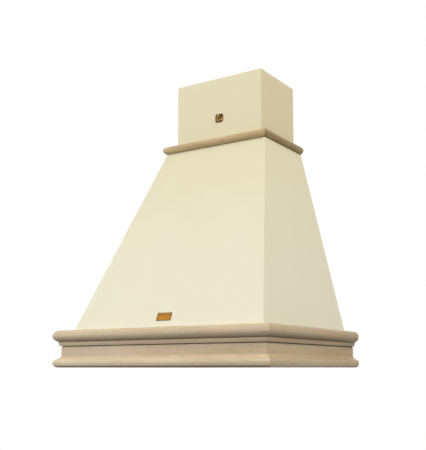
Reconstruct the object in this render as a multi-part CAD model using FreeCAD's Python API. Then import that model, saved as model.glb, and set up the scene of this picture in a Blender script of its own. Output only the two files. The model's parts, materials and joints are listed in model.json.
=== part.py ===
import FreeCAD, Part
import math
import os

# Wall-hung kitchen range hood with a wooden-framed cover.
# A beech moulding runs round the foot on three sides, four-sided painted panels rise from it as a canopy,
# a round-nosed beech moulding closes the canopy's top, and a painted chimney stands on that.
# Inside hangs the extractor: a tray with lamps, controls and two grease filters, the housing that stands on
# it, the blower in the housing and the duct collar on top.
#
# X runs to the right, Y into the wall and Z up, in millimetres. The origin lies on the wall, level with the
# underside and at the middle of the width, so the whole hood is at Y <= 0.

Vec = FreeCAD.Vector
LEFT, RIGHT = -1, 1

# ------------------------------------------------------------------ outside of the hood
HOOD_WIDTH = 600.0           # over the noses of the side mouldings
HOOD_DEPTH = 450.0           # wall to the nose of the front moulding
CANOPY_HEIGHT = 474.0        # top of the base moulding to the underside of the neck
NECK_WIDTH = 298.0           # canopy's top, outside
NECK_DEPTH = 195.0
CHIMNEY_SIDE_STEP = 20.5       # chimney behind the canopy's top, at each side
CHIMNEY_FRONT_STEP = 19.0
CHIMNEY_HEIGHT = 166.0

# base moulding, from the underside up
MOULDING_HEIGHT = 89.0
MOULDING_THICKNESS = 37.0
LOWER_NOSE_RADIUS = 10.3
LOWER_NOSE_INSET = 1.0       # how far the lower nose stands behind the upper one
LOWER_NOSE_SWEEP = 50.0      # degrees above level at which the lower nose turns into the cove
COVE_SAG = 1.2
FASCIA_INSET = 16.0
FASCIA_BOTTOM = 27.0
FASCIA_HEIGHT = 22.7
STRIP_INSET = 12.4           # foot of the small sloping strip above the fascia
STRIP_TOP_INSET = 10.3
UPPER_NOSE_RADIUS = 14.0
UPPER_NOSE_SWEEP = 70.0      # degrees below level at which the upper nose ends
QUIRK_DEPTH = 1.6
QUIRK_WIDTH = 1.8

# neck moulding
NECK_THICKNESS = 21.0
NECK_BAR = 45.0              # width of the flat bar, nose included
NECK_OVERHANG = 8.5          # nose beyond the canopy's top

# timber and panels
RAIL_THICKNESS = 18.0
PANEL_THICKNESS = 12.0
CHIMNEY_PANEL = 10.0
CANOPY_BATTEN = 20.0
CHIMNEY_BATTEN = 16.0
BATTEN_END_GAP = 3.0
CORNER_BLOCK_LEG = 36.0
CORNER_BLOCK_HEIGHT = 28.0
BACK_RAIL_HEIGHT = 60.0
CHIMNEY_RAIL_HEIGHT = 50.0
CHIMNEY_RAIL_DROP = 8.0      # chimney back rail below the chimney's top
WALL_HOLE_RADIUS = 4.0
CANOPY_HOLE_SPACING = 160.0
CHIMNEY_HOLE_SPACING = 120.0

# metal plates on the outside
PLATE_WIDTH = 40.0
PLATE_HEIGHT = 20.0
PLATE_RISE = 27.0            # plate's centre above the canopy's foot, along the slope
PLATE_SHEET = 1.0
BADGE_WIDTH = 23.0
BADGE_HEIGHT = 22.0
BADGE_SHEET = 1.4
BADGE_OFFSET = 4.0           # to the right of the chimney's middle
BADGE_RISE = 58.0            # badge's centre above the neck moulding
PLATE_RIM = 1.4

# ------------------------------------------------------------------ extractor insert
SHEET = 1.2
TRAY_RECESS = 12.0           # tray's face above the underside of the hood
TRAY_FLANGE = 40.0
TRAY_CLEARANCE = 1.5         # tray to the rails round it
TRAY_CORNER = 5.0
HOUSING_WIDTH = 360.0
HOUSING_DEPTH = 245.0
HOUSING_HEIGHT = 277.0
HOUSING_TO_WALL = 25.0
HOUSING_FLANGE = 10.0
HOUSING_CORNER = 4.0
OPENING_MARGIN = 8.0         # housing wall to the filter openings
MULLION = 12.0               # tray metal between the two openings

# grease filters
FILTER_THICKNESS = 9.0
FILTER_CLEARANCE = 0.8
FILTER_BAR = 12.0
FILTER_CORNER = 4.0
OPENING_CORNER = 2.0         # of the tray's openings, tighter so that a filter can turn in them
FILTER_BEVEL = 3.0           # bevelled rear lower edge, which the filter turns about
PAD_THICKNESS = 5.0
PAD_GRIP = 5.0               # how deep the pad sits in the frame
PAD_COLUMN_COUNT = 4
PAD_ROW_COUNT = 6
PAD_WEB = 4.0
TAB_WIDTH = 18.0
TAB_REACH = 5.0
TAB_SHEET = 1.2
TAB_SPACING = 90.0
SEAT_GAP = 0.3               # what rests on, but is not fixed to, its neighbour

# filter latches
LATCH_WIDTH = 30.0
LATCH_LENGTH = 14.0
LATCH_TRAVEL = 4.5
LATCH_GRIP = 3.0             # finger grip below the frame
LATCH_WING = 3.0             # retaining wing on each side
LATCH_TONGUE_WIDTH = 14.0
LATCH_SHEET = 1.8
LATCH_SILL = 2.0             # frame below the wings
LATCH_PAD_WIDTH = 54.0
LATCH_PAD_LENGTH = 28.0

# lamps and controls in the front strip
LAMP_FROM_RAIL = 25.0         # lamp's frame to the side rail
LAMP_LENGTH = 100.0
LAMP_DEPTH = 60.0
LAMP_FRAME = 5.0             # frame beyond the can
LAMP_CAN_HEIGHT = 24.0
LAMP_WALL = 1.5
LAMP_LIP = 1.8
LAMP_BEVEL = 1.2
LAMP_SEAT = 2.5              # lip that the lens lies on
LENS_THICKNESS = 2.0
LENS_DROP = 2.4              # lens below its seat
LENS_BEVEL = 4.0
CONTROL_WIDTH = 160.0
CONTROL_DEPTH = 38.0
CONTROL_PLATE = 2.5
CONTROL_LIP = 6.0            # plate beyond its neck
CONTROL_WALL = 2.0
CONTROL_NECK_HEIGHT = 10.0
CONTROL_CORNER = 6.0
SWITCH_HEIGHT = 24.0
BUTTON_COUNT = 5
BUTTON_PITCH = 27.0
BUTTON_LENGTH = 20.0
BUTTON_DEPTH = 13.0
BUTTON_BEVEL = 1.0
BUTTON_TRAVEL = 2.5
BUTTON_PROUD = 3.0
BUTTON_FLANGE = 1.5
BUTTON_LIP = 1.8             # flange beyond the cap
BUTTON_STEM = 6.0

# ------------------------------------------------------------------ blower
SCROLL_RADIUS = 103.0        # largest of the four arcs of the scroll
SCROLL_STEP = 8.0            # by which each arc is smaller than the one before
SCROLL_WIDTH = 100.0
SCROLL_WALL = 2.5
OUTLET_LENGTH = 86.0
OUTLET_RISE = 119.0          # impeller's axis to the mouth of the scroll
TONGUE_RADIUS = 7.0
INLET_RADIUS = 56.0
INLET_RING = 4.0
INLET_RING_DEPTH = 5.0
INLET_SIDE_COUNT = 24
OUTLET_FLANGE = 12.0
OUTLET_FLANGE_SHEET = 3.0
IMPELLER_RADIUS = 72.0
IMPELLER_EYE = 58.0
IMPELLER_WIDTH = 88.0
BLADE_COUNT = 16
BLADE_SHEET = 1.4
BLADE_LEAN = 11.0            # degrees by which a blade's tip leads its root
IMPELLER_RING = 3.0
HUB_RADIUS = 12.0
HUB_LENGTH = 24.0
SHAFT_RADIUS = 4.0
SHAFT_CLEARANCE = 0.05
MOTOR_RADIUS = 38.0
MOTOR_LENGTH = 46.0
HUB_TO_MOTOR = 2.0
MOTOR_EDGE = 5.0
MOTOR_SIDE_COUNT = 24
BRACKET_SHEET = 3.0
BRACKET_ARM = 10.0
BRACKET_ARM_COUNT = 3
BRACKET_PLATE_RADIUS = 34.0
BRACKET_FOOT = 9.0
BRACKET_CIRCLE = 68.0        # radius on which the bracket's feet stand

# duct collar and its non-return flaps
DUCT_RADIUS = 62.5
COLLAR_WALL = 1.5
COLLAR_LENGTH = 42.0
COLLAR_TAPER = 26.0          # height of the square-to-round stretch
COLLAR_FOLD_COUNT = 16       # flats of the square-to-round stretch
STOP_LUG = 6.0
STOP_SHEET = 1.5
STOP_RISE = 10.0             # stop above the foot of the round collar
STOP_BAR = 9.0
FLAP_SHEET = 1.2
FLAP_CLEARANCE = 0.6
FLAP_PIN_RADIUS = 1.5
KNUCKLE_RADIUS = 3.0
KNUCKLE_CLEARANCE = 0.05
KNUCKLE_LENGTH = 19.0
KNUCKLE_PITCH = 20.0
FLAP_GAP = 0.4
EAR_DEPTH = 4.8
EAR_SHEET = 2.0
EAR_INSET = 2.5              # ear to the collar's wall

# connection box and screws
BOX_WIDTH = 70.0
BOX_DEPTH = 50.0
BOX_HEIGHT = 30.0
BOX_LID = 2.5
BOX_LIP = 1.0                # lid beyond the case
BOX_FROM_LEFT = 25.0         # from the housing's left side
BOX_FROM_FRONT = 105.0
GLAND_INSET = 13.0           # gland's axis from the box's side, under the way up through the neck
GLAND_RADIUS = 8.0
GLAND_LENGTH = 16.0
GLAND_SIDE_COUNT = 12
GLAND_NUT = 11.0
GLAND_NUT_LENGTH = 5.0
GLAND_BORE = 4.0
SCREW_RADIUS = 2.0
SCREW_HEAD_RADIUS = 4.2
SCREW_HEAD = 2.4
SCREW_FIT = 0.1              # between a screw and the hole that it stands in
TRAY_SCREW_LENGTH = 14.0

# ------------------------------------------------------------------ derived places
HALF = HOOD_WIDTH / 2
CHIMNEY_WIDTH = NECK_WIDTH - 2 * CHIMNEY_SIDE_STEP
CHIMNEY_DEPTH = NECK_DEPTH - CHIMNEY_FRONT_STEP
FOOT_HALF = HALF - MOULDING_THICKNESS
FOOT_DEPTH = HOOD_DEPTH - MOULDING_THICKNESS
INNER_HALF = FOOT_HALF - RAIL_THICKNESS
INNER_DEPTH = FOOT_DEPTH - RAIL_THICKNESS
NECK_BOTTOM = MOULDING_HEIGHT + CANOPY_HEIGHT
NECK_TOP = NECK_BOTTOM + NECK_THICKNESS
CHIMNEY_TOP = NECK_TOP + CHIMNEY_HEIGHT
NECK_HALF = NECK_WIDTH / 2 + NECK_OVERHANG
NECK_FRONT = NECK_DEPTH + NECK_OVERHANG
SIDE_SLOPE = (FOOT_HALF - NECK_WIDTH / 2) / CANOPY_HEIGHT
FRONT_SLOPE = (FOOT_DEPTH - NECK_DEPTH) / CANOPY_HEIGHT
SIDE_SHIFT = PANEL_THICKNESS * math.hypot(1, SIDE_SLOPE)
FRONT_SHIFT = PANEL_THICKNESS * math.hypot(1, FRONT_SLOPE)

TRAY_TOP = TRAY_RECESS + SHEET
TRAY_HALF = INNER_HALF - TRAY_CLEARANCE
TRAY_FRONT = INNER_DEPTH - TRAY_CLEARANCE
TRAY_BACK = RAIL_THICKNESS + TRAY_CLEARANCE
HOUSING_HALF = HOUSING_WIDTH / 2
HOUSING_FRONT = HOUSING_TO_WALL + HOUSING_DEPTH
HOUSING_TOP = TRAY_TOP + HOUSING_HEIGHT
OPENING_HALF = HOUSING_HALF - OPENING_MARGIN
OPENING_FRONT = HOUSING_FRONT - OPENING_MARGIN
OPENING_BACK = HOUSING_TO_WALL + OPENING_MARGIN
STRIP_Y = -(TRAY_FRONT + HOUSING_FRONT) / 2          # middle of the front strip
LAMP_X = INNER_HALF - LAMP_FROM_RAIL - LAMP_LENGTH / 2
LAMP_CAN_LENGTH = LAMP_LENGTH - 2 * LAMP_FRAME
LAMP_CAN_DEPTH = LAMP_DEPTH - 2 * LAMP_FRAME
CONTROL_NECK_LENGTH = CONTROL_WIDTH - 2 * CONTROL_LIP
CONTROL_NECK_DEPTH = CONTROL_DEPTH - 2 * CONTROL_LIP
CONTROL_NECK_TOP = TRAY_RECESS + CONTROL_NECK_HEIGHT
TAB_END = -OPENING_BACK + TAB_REACH                  # rear tabs of the filters, over the tray's edge

NECK_OPEN_FRONT = NECK_FRONT - NECK_BAR
DUCT_Y = -(NECK_OPEN_FRONT + RAIL_THICKNESS) / 2     # duct in the middle of the neck's opening
OUTLET_MOUTH = HOUSING_TOP - SHEET
BLOWER_Z = OUTLET_MOUTH - OUTLET_RISE
SCROLL_REACH = SCROLL_RADIUS + SCROLL_STEP / 2
BLOWER_Y = DUCT_Y + OUTLET_LENGTH / 2 - SCROLL_REACH
COLLAR_FOOT = HOUSING_TOP + OUTLET_FLANGE_SHEET + COLLAR_TAPER
STOP_TOP = COLLAR_FOOT + STOP_RISE
FLAP_BOTTOM = STOP_TOP + SEAT_GAP
FLAP_PIN_Z = FLAP_BOTTOM + KNUCKLE_RADIUS + SEAT_GAP / 2
MOTOR_FACE = -HUB_LENGTH / 2 - HUB_TO_MOTOR
MOTOR_END = MOTOR_FACE - MOTOR_LENGTH


# ------------------------------------------------------------------ small tools
def box(x0, x1, y0, y1, z0, z1):
    """Block between two corners."""
    return Part.makeBox(x1 - x0, y1 - y0, z1 - z0, Vec(x0, y0, z0))


def rounded_box(x0, x1, y0, y1, z0, z1, radius):
    """Block whose four upright edges are rounded."""
    block = box(x0, x1, y0, y1, z0, z1)
    upright = [e for e in block.Edges if abs(e.Vertexes[0].Z - e.Vertexes[1].Z) > 1e-6]
    return block.makeFillet(radius, upright)


def prism(points, height):
    """Upright prism on a plan outline, from Z = 0."""
    corners = [Vec(x, y, 0) for x, y in points]
    return Part.Face(Part.makePolygon(corners + corners[:1])).extrude(Vec(0, 0, height))


def frustum(foot, top):
    """Solid between two level outlines with parallel sides, each given as (points, height)."""
    low = [Vec(x, y, foot[1]) for x, y in foot[0]]
    high = [Vec(x, y, top[1]) for x, y in top[0]]
    count = len(low)
    loops = [low, high]
    for i in range(count):
        j = (i + 1) % count
        loops.append([low[i], low[j], high[j], high[i]])
    faces = [Part.Face(Part.makePolygon(loop + loop[:1])) for loop in loops]
    solid = Part.makeSolid(Part.makeShell(faces))
    if solid.Volume < 0:
        solid.reverse()
    return solid


def outline_face(segments, place):
    """Face inside a closed outline of lines (two points) and arcs (three), set in space by place."""
    edges = []
    for segment in segments:
        points = [place(*p) for p in segment]
        curve = Part.LineSegment(*points) if len(points) == 2 else Part.Arc(*points)
        edges.append(curve.toShape())
    return Part.Face(Part.Wire(edges))


def centred_box(x, y, length, depth, z0, z1):
    """Block centred on a point in plan."""
    return box(x - length / 2, x + length / 2, y - depth / 2, y + depth / 2, z0, z1)


def centred_plan(x, y, length, depth):
    """Corners of a rectangle centred on a point in plan."""
    return [(x + i * length / 2, y + j * depth / 2) for i, j in ((-1, -1), (1, -1), (1, 1), (-1, 1))]


def cylinder(radius, start, along):
    """Cylinder from a start point along a vector."""
    return Part.makeCylinder(radius, along.Length, start, along)


def sided_bar(sides, radius, start, along):
    """Bar with flat sides from a start point along a vector, with its corners on a circle."""
    unit = Vec(along).normalize()
    across = unit.cross(Vec(0, 0, 1)) if abs(unit.z) < 0.9 else Vec(1, 0, 0)
    corners = []
    for i in range(sides + 1):
        turn = FreeCAD.Rotation(unit, 360.0 * i / sides)
        corners.append(start + turn.multVec(across) * radius)
    return Part.Face(Part.makePolygon(corners)).extrude(along)


def sided_hole(radius, start, along):
    """Cutter whose eight flats just clear a round bar of the given radius."""
    return sided_bar(8, radius / math.cos(math.pi / 8), start, along)


def mirrored(shape):
    """The same piece on the other side of the hood."""
    return shape.mirror(Vec(0, 0, 0), Vec(1, 0, 0))


def joined(shapes):
    """One solid from several that overlap or touch."""
    return shapes[0].multiFuse(shapes[1:]).removeSplitter()


def for_both_sides(name, right_shape):
    """Right-hand piece and its mirror image under their two names."""
    return {name + "_left": mirrored(right_shape), name + "_right": right_shape}


# ------------------------------------------------------------------ mouldings
def base_outline():
    """Section of the base moulding as (inset behind the nose, height) segments."""
    low_centre = (LOWER_NOSE_INSET + LOWER_NOSE_RADIUS, LOWER_NOSE_RADIUS)
    low_sweep = math.radians(LOWER_NOSE_SWEEP)
    low_foot = (low_centre[0], 0)
    low_nose = (LOWER_NOSE_INSET, LOWER_NOSE_RADIUS)
    low_end = (
        low_centre[0] - LOWER_NOSE_RADIUS * math.cos(low_sweep),
        low_centre[1] + LOWER_NOSE_RADIUS * math.sin(low_sweep),
    )
    cove_end = (FASCIA_INSET, FASCIA_BOTTOM)
    run, rise = cove_end[0] - low_end[0], cove_end[1] - low_end[1]
    chord = math.hypot(run, rise)
    cove_middle = (
        (low_end[0] + cove_end[0]) / 2 + COVE_SAG * rise / chord,
        (low_end[1] + cove_end[1]) / 2 - COVE_SAG * run / chord,
    )
    fascia_top = FASCIA_BOTTOM + FASCIA_HEIGHT
    strip_foot = fascia_top + QUIRK_WIDTH
    sweep = math.radians(UPPER_NOSE_SWEEP)
    nose_level = MOULDING_HEIGHT - UPPER_NOSE_RADIUS
    nose_end = (
        UPPER_NOSE_RADIUS - UPPER_NOSE_RADIUS * math.cos(sweep),
        nose_level - UPPER_NOSE_RADIUS * math.sin(sweep),
    )
    corners = [
        (FASCIA_INSET, FASCIA_BOTTOM),
        (FASCIA_INSET, fascia_top),
        (FASCIA_INSET + QUIRK_DEPTH, fascia_top),
        (FASCIA_INSET + QUIRK_DEPTH, strip_foot),
        (STRIP_INSET, strip_foot),
        (STRIP_TOP_INSET, nose_end[1] - QUIRK_WIDTH),
        (nose_end[0] + QUIRK_DEPTH, nose_end[1] - QUIRK_WIDTH / 2),
        nose_end,
    ]
    back = [(MOULDING_THICKNESS, MOULDING_HEIGHT), (MOULDING_THICKNESS, 0)]
    return [
        (low_foot, (low_centre[0] - LOWER_NOSE_RADIUS * math.sqrt(0.5),
                    low_centre[1] - LOWER_NOSE_RADIUS * math.sqrt(0.5)), low_nose),
        (low_nose, (low_centre[0] - LOWER_NOSE_RADIUS * math.cos(low_sweep / 2),
                    low_centre[1] + LOWER_NOSE_RADIUS * math.sin(low_sweep / 2)), low_end),
        (low_end, cove_middle, cove_end),
        *zip(corners[:-1], corners[1:]),
        (nose_end, (UPPER_NOSE_RADIUS - UPPER_NOSE_RADIUS * math.cos(sweep / 2),
                    nose_level - UPPER_NOSE_RADIUS * math.sin(sweep / 2)), (0, nose_level)),
        ((0, nose_level), (UPPER_NOSE_RADIUS * (1 - math.sqrt(0.5)),
                           nose_level + UPPER_NOSE_RADIUS * math.sqrt(0.5)),
         (UPPER_NOSE_RADIUS, MOULDING_HEIGHT)),
        ((UPPER_NOSE_RADIUS, MOULDING_HEIGHT), back[0]),
        (back[0], back[1]),
        (back[1], low_foot),
    ]


def neck_outline():
    """Section of the neck moulding: a flat bar with a half-round nose."""
    radius = NECK_THICKNESS / 2
    return [
        ((NECK_BAR, 0), (radius, 0)),
        ((radius, 0), (0, radius), (radius, NECK_THICKNESS)),
        ((radius, NECK_THICKNESS), (NECK_BAR, NECK_THICKNESS)),
        ((NECK_BAR, NECK_THICKNESS), (NECK_BAR, 0)),
    ]


def mitred_frame(name, outline, half, depth, width, foot):
    """Front bar and two side bars of one section, mitred at the front corners and square at the wall.

    half and depth locate the nose, width is the bar's, and foot is the height that the section starts at.
    """
    front = outline_face(outline, lambda d, z: Vec(-half, d - depth, z + foot))
    front = front.extrude(Vec(2 * half, 0, 0))
    side = outline_face(outline, lambda d, z: Vec(half - d, -depth, z + foot))
    side = side.extrude(Vec(0, depth, 0))
    reach = foot + depth
    inner = half - width
    front_plan = [(-half, -depth), (half, -depth), (inner, width - depth), (-inner, width - depth)]
    side_plan = [(half, -depth), (half, 0), (inner, 0), (inner, width - depth)]
    bars = {name + "_front": front.common(prism(front_plan, reach))}
    bars.update(for_both_sides(name, side.common(prism(side_plan, reach))))
    return bars


# ------------------------------------------------------------------ timber and panels
def canopy_half(z):
    """Half of the canopy's outer width at a height."""
    return FOOT_HALF - SIDE_SLOPE * (z - MOULDING_HEIGHT)


def canopy_depth(z):
    """Distance of the canopy's outer front face from the wall at a height."""
    return FOOT_DEPTH - FRONT_SLOPE * (z - MOULDING_HEIGHT)


def base_frame():
    """Four rails behind the base moulding and the blocks in their corners."""
    right = box(INNER_HALF, FOOT_HALF, -INNER_DEPTH, 0, 0, MOULDING_HEIGHT)
    front = box(-FOOT_HALF, FOOT_HALF, -FOOT_DEPTH, -INNER_DEPTH, 0, MOULDING_HEIGHT)
    back = box(-INNER_HALF, INNER_HALF, -RAIL_THICKNESS, 0, 0, MOULDING_HEIGHT)
    right = right.cut(screw_holes(tray_screw_axes()))
    rails = for_both_sides("base_rail", right)
    rails["base_rail_front"] = front
    rails["base_rail_back"] = back
    leg = CORNER_BLOCK_LEG
    blocks = []
    for x, y, turn in (
        (INNER_HALF, -INNER_DEPTH, 90),
        (INNER_HALF, -RAIL_THICKNESS, 180),
        (-INNER_HALF, -RAIL_THICKNESS, 270),
        (-INNER_HALF, -INNER_DEPTH, 0),
    ):
        block = prism([(0, 0), (leg, 0), (0, leg)], CORNER_BLOCK_HEIGHT)
        block.rotate(Vec(0, 0, 0), Vec(0, 0, 1), turn)
        block.translate(Vec(x, y, MOULDING_HEIGHT - BATTEN_END_GAP - CORNER_BLOCK_HEIGHT))
        blocks.append(block)
    rails["base_corner_blocks"] = Part.makeCompound(blocks)
    return rails


def canopy():
    """Sloping panels with mitred corners, the battens that they are glued to, and the rail at the back."""
    levels = (MOULDING_HEIGHT, NECK_BOTTOM)

    def front_plan(z):
        half, depth = canopy_half(z), canopy_depth(z)
        inner_half, inner_depth = half - SIDE_SHIFT, depth - FRONT_SHIFT
        return [(-half, -depth), (half, -depth), (inner_half, -inner_depth), (-inner_half, -inner_depth)]

    def side_plan(z):
        half, depth = canopy_half(z), canopy_depth(z)
        return [(half, -depth), (half, 0), (half - SIDE_SHIFT, 0), (half - SIDE_SHIFT, FRONT_SHIFT - depth)]

    def batten_plan(z):
        x, y = canopy_half(z) - SIDE_SHIFT, FRONT_SHIFT - canopy_depth(z)
        size = CANOPY_BATTEN
        return [(x, y), (x, y + size), (x - size / 2, y + size), (x - size, y + size / 2), (x - size, y)]

    def rail_plan(z):
        half = canopy_half(z) - SIDE_SHIFT
        return [(-half, -RAIL_THICKNESS), (half, -RAIL_THICKNESS), (half, 0), (-half, 0)]

    def between(plan, low, high):
        return frustum((plan(low), low), (plan(high), high))

    rail = between(rail_plan, NECK_BOTTOM - BACK_RAIL_HEIGHT, NECK_BOTTOM)
    rail = rail.cut(wall_holes(CANOPY_HOLE_SPACING, NECK_BOTTOM - BACK_RAIL_HEIGHT / 2))
    pieces = {"canopy_front": between(front_plan, *levels), "canopy_back_rail": rail}
    pieces.update(for_both_sides("canopy", between(side_plan, *levels)))
    batten = between(batten_plan, levels[0] + BATTEN_END_GAP, levels[1] - BATTEN_END_GAP)
    pieces.update(for_both_sides("canopy_batten", batten))
    return pieces


def wall_holes(spacing, height):
    """Two holes through a back rail for the screws that hold the hood on the wall."""
    holes = []
    for side in (LEFT, RIGHT):
        start = Vec(side * spacing / 2, -2 * RAIL_THICKNESS, height)
        holes.append(cylinder(WALL_HOLE_RADIUS, start, Vec(0, 3 * RAIL_THICKNESS, 0)))
    return Part.makeCompound(holes)


def chimney():
    """Three mitred panels on the neck, two battens in their corners and the rail at the back."""
    half, depth, sheet = CHIMNEY_WIDTH / 2, CHIMNEY_DEPTH, CHIMNEY_PANEL
    size = CHIMNEY_BATTEN
    x, y = half - sheet, sheet - depth
    plans = {
        "front": [(-half, -depth), (half, -depth), (x, y), (-x, y)],
        "side": [(half, -depth), (half, 0), (x, 0), (x, y)],
        "batten": [(x, y), (x, y + size), (x - size / 2, y + size), (x - size, y + size / 2), (x - size, y)],
    }
    solids = {}
    for key, plan in plans.items():
        ends = BATTEN_END_GAP if key == "batten" else 0
        solids[key] = prism(plan, CHIMNEY_HEIGHT - 2 * ends)
        solids[key].translate(Vec(0, 0, NECK_TOP + ends))
    rail_top = CHIMNEY_TOP - CHIMNEY_RAIL_DROP
    rail = box(-x, x, -RAIL_THICKNESS, 0, rail_top - CHIMNEY_RAIL_HEIGHT, rail_top)
    rail = rail.cut(wall_holes(CHIMNEY_HOLE_SPACING, rail_top - CHIMNEY_RAIL_HEIGHT / 2))
    pieces = {"chimney_front": solids["front"], "chimney_back_rail": rail}
    pieces.update(for_both_sides("chimney", solids["side"]))
    pieces.update(for_both_sides("chimney_batten", solids["batten"]))
    return pieces


def neck():
    """Round-nosed moulding round the canopy's top and the rail that closes it at the wall."""
    pieces = mitred_frame("neck_moulding", neck_outline(), NECK_HALF, NECK_FRONT, NECK_BAR, NECK_BOTTOM)
    half = NECK_HALF - NECK_BAR
    pieces["neck_back_rail"] = box(-half, half, -RAIL_THICKNESS, 0, NECK_BOTTOM, NECK_TOP)
    return pieces


def rimmed_plate(width, height, sheet, corner):
    """Thin plate lying on Z = 0 with rounded corners and a raised rim."""
    plate = rounded_box(-width / 2, width / 2, -height / 2, height / 2, 0, sheet, corner)
    inner_width, inner_height = width / 2 - PLATE_RIM, height / 2 - PLATE_RIM
    floor = box(-inner_width, inner_width, -inner_height, inner_height, sheet * 0.6, 2 * sheet)
    return plate.cut(floor)


def outside_plates():
    """Bare brass plate low on the front panel and bare bronze badge on the chimney."""
    tilt = math.degrees(math.atan(FRONT_SLOPE))
    plate = rimmed_plate(PLATE_WIDTH, PLATE_HEIGHT, PLATE_SHEET, PLATE_HEIGHT / 12)
    plate.translate(Vec(0, PLATE_RISE, 0))
    plate.rotate(Vec(0, 0, 0), Vec(1, 0, 0), 90 - tilt)
    plate.translate(Vec(0, -FOOT_DEPTH, MOULDING_HEIGHT))
    badge = rimmed_plate(BADGE_WIDTH, BADGE_HEIGHT, BADGE_SHEET, BADGE_WIDTH / 5)
    badge.rotate(Vec(0, 0, 0), Vec(1, 0, 0), 90)
    badge.translate(Vec(BADGE_OFFSET, -CHIMNEY_DEPTH, NECK_TOP + BADGE_RISE))
    return {"front_plate": plate, "chimney_badge": badge}


# ------------------------------------------------------------------ tray and housing
def tray_screw_axes():
    """Start points and directions of the screws through the tray's right flange into the side rail."""
    height = TRAY_RECESS + TRAY_FLANGE * 0.6
    inset = 3 * TRAY_SCREW_LENGTH
    ends = (inset - TRAY_FRONT, -TRAY_BACK - inset)
    return [(Vec(TRAY_HALF - SHEET, y, height), Vec(TRAY_SCREW_LENGTH, 0, 0)) for y in ends]


def screw_holes(axes):
    """Cutters for the screws on a list of axes, as one tool."""
    return Part.makeCompound([sided_hole(SCREW_RADIUS + SCREW_FIT, start, along) for start, along in axes])


def screw(start, along):
    """Hexagon-headed screw whose head sits on the start point. Its shank is drawn with eight flats."""
    unit = Vec(along).normalize()
    head = sided_bar(6, SCREW_HEAD_RADIUS, start, unit * -SCREW_HEAD)
    return joined([head, sided_bar(8, SCREW_RADIUS, start, along)])


def filter_opening(side):
    """Plan limits (x0, x1, y0, y1) of one filter opening."""
    inner, outer = MULLION / 2, OPENING_HALF
    x0, x1 = (inner, outer) if side == RIGHT else (-outer, -inner)
    return x0, x1, -OPENING_FRONT, -OPENING_BACK


def tray():
    """Sheet tray with an upturned flange, openings for filters and lamps and a cut-out for the controls."""
    half, front, back = TRAY_HALF, -TRAY_FRONT, -TRAY_BACK
    rim = TRAY_RECESS + TRAY_FLANGE
    outer = rounded_box(-half, half, front, back, TRAY_RECESS, rim, TRAY_CORNER)
    inner = rounded_box(SHEET - half, half - SHEET, front + SHEET, back - SHEET, TRAY_TOP, rim + SHEET,
                        TRAY_CORNER - SHEET)
    low, high = TRAY_RECESS - SHEET, TRAY_TOP + SHEET
    tools = [inner]
    for side in (LEFT, RIGHT):
        x0, x1, y0, y1 = filter_opening(side)
        tools.append(rounded_box(x0, x1, y0, y1, low, high, OPENING_CORNER))
        tools.append(centred_box(side * LAMP_X, STRIP_Y, LAMP_CAN_LENGTH + 2 * SEAT_GAP,
                                 LAMP_CAN_DEPTH + 2 * SEAT_GAP, low, high))
    gap = 2 * SEAT_GAP
    tools.append(centred_box(0, STRIP_Y, CONTROL_NECK_LENGTH + gap, CONTROL_NECK_DEPTH + gap, low, high))
    right_holes = screw_holes(tray_screw_axes())
    tools.extend([right_holes, mirrored(right_holes)])
    return outer.cut(Part.makeCompound(tools))


def housing():
    """Sheet box over the filters, flanged where it stands on the tray, with the blower's outlet on top."""
    half, front, back = HOUSING_HALF, -HOUSING_FRONT, -HOUSING_TO_WALL
    outer = rounded_box(-half, half, front, back, TRAY_TOP, HOUSING_TOP, HOUSING_CORNER)
    inner = rounded_box(SHEET - half, half - SHEET, front + SHEET, back - SHEET, TRAY_TOP - SHEET,
                        HOUSING_TOP - SHEET, HOUSING_CORNER - SHEET)
    wide = half + HOUSING_FLANGE
    flange = box(-wide, wide, front - HOUSING_FLANGE, back, TRAY_TOP, TRAY_TOP + SHEET)
    shell = joined([outer, flange]).cut(inner)
    outlet = box(-SCROLL_WIDTH / 2, SCROLL_WIDTH / 2, DUCT_Y - OUTLET_LENGTH / 2, DUCT_Y + OUTLET_LENGTH / 2,
                 HOUSING_TOP - 2 * SHEET, HOUSING_TOP + SHEET)
    return shell.cut(outlet).cut(screw_holes(blower_screw_axes()))


# ------------------------------------------------------------------ filters
def filter_limits():
    """Plan limits of the right-hand filter's frame."""
    x0, x1, y0, y1 = filter_opening(RIGHT)
    return x0 + FILTER_CLEARANCE, x1 - FILTER_CLEARANCE, y0 + FILTER_CLEARANCE, y1 - FILTER_CLEARANCE


def latch_spaces():
    """Slot, wing and tongue spaces that the latch slides in, as one cutter."""
    x0, x1, y0, _ = filter_limits()
    middle = (x0 + x1) / 2
    front = y0 + FILTER_BAR / 2
    run = LATCH_LENGTH + LATCH_TRAVEL + SEAT_GAP
    wing_low = TRAY_RECESS + LATCH_SILL
    wing_high = wing_low + LATCH_SHEET + 2 * SEAT_GAP
    slot_half = LATCH_WIDTH / 2 + SEAT_GAP
    wing_half = slot_half + LATCH_WING
    tongue_half = LATCH_TONGUE_WIDTH / 2 + SEAT_GAP
    start, end = front - SEAT_GAP, front + run
    slot = box(middle - slot_half, middle + slot_half, start, end, TRAY_RECESS - 1, wing_high)
    wings = box(middle - wing_half, middle + wing_half, start, end, wing_low, wing_high)
    tongue = box(middle - tongue_half, middle + tongue_half, y0 - 1, end, wing_low, wing_high)
    return joined([slot, wings, tongue])


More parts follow.
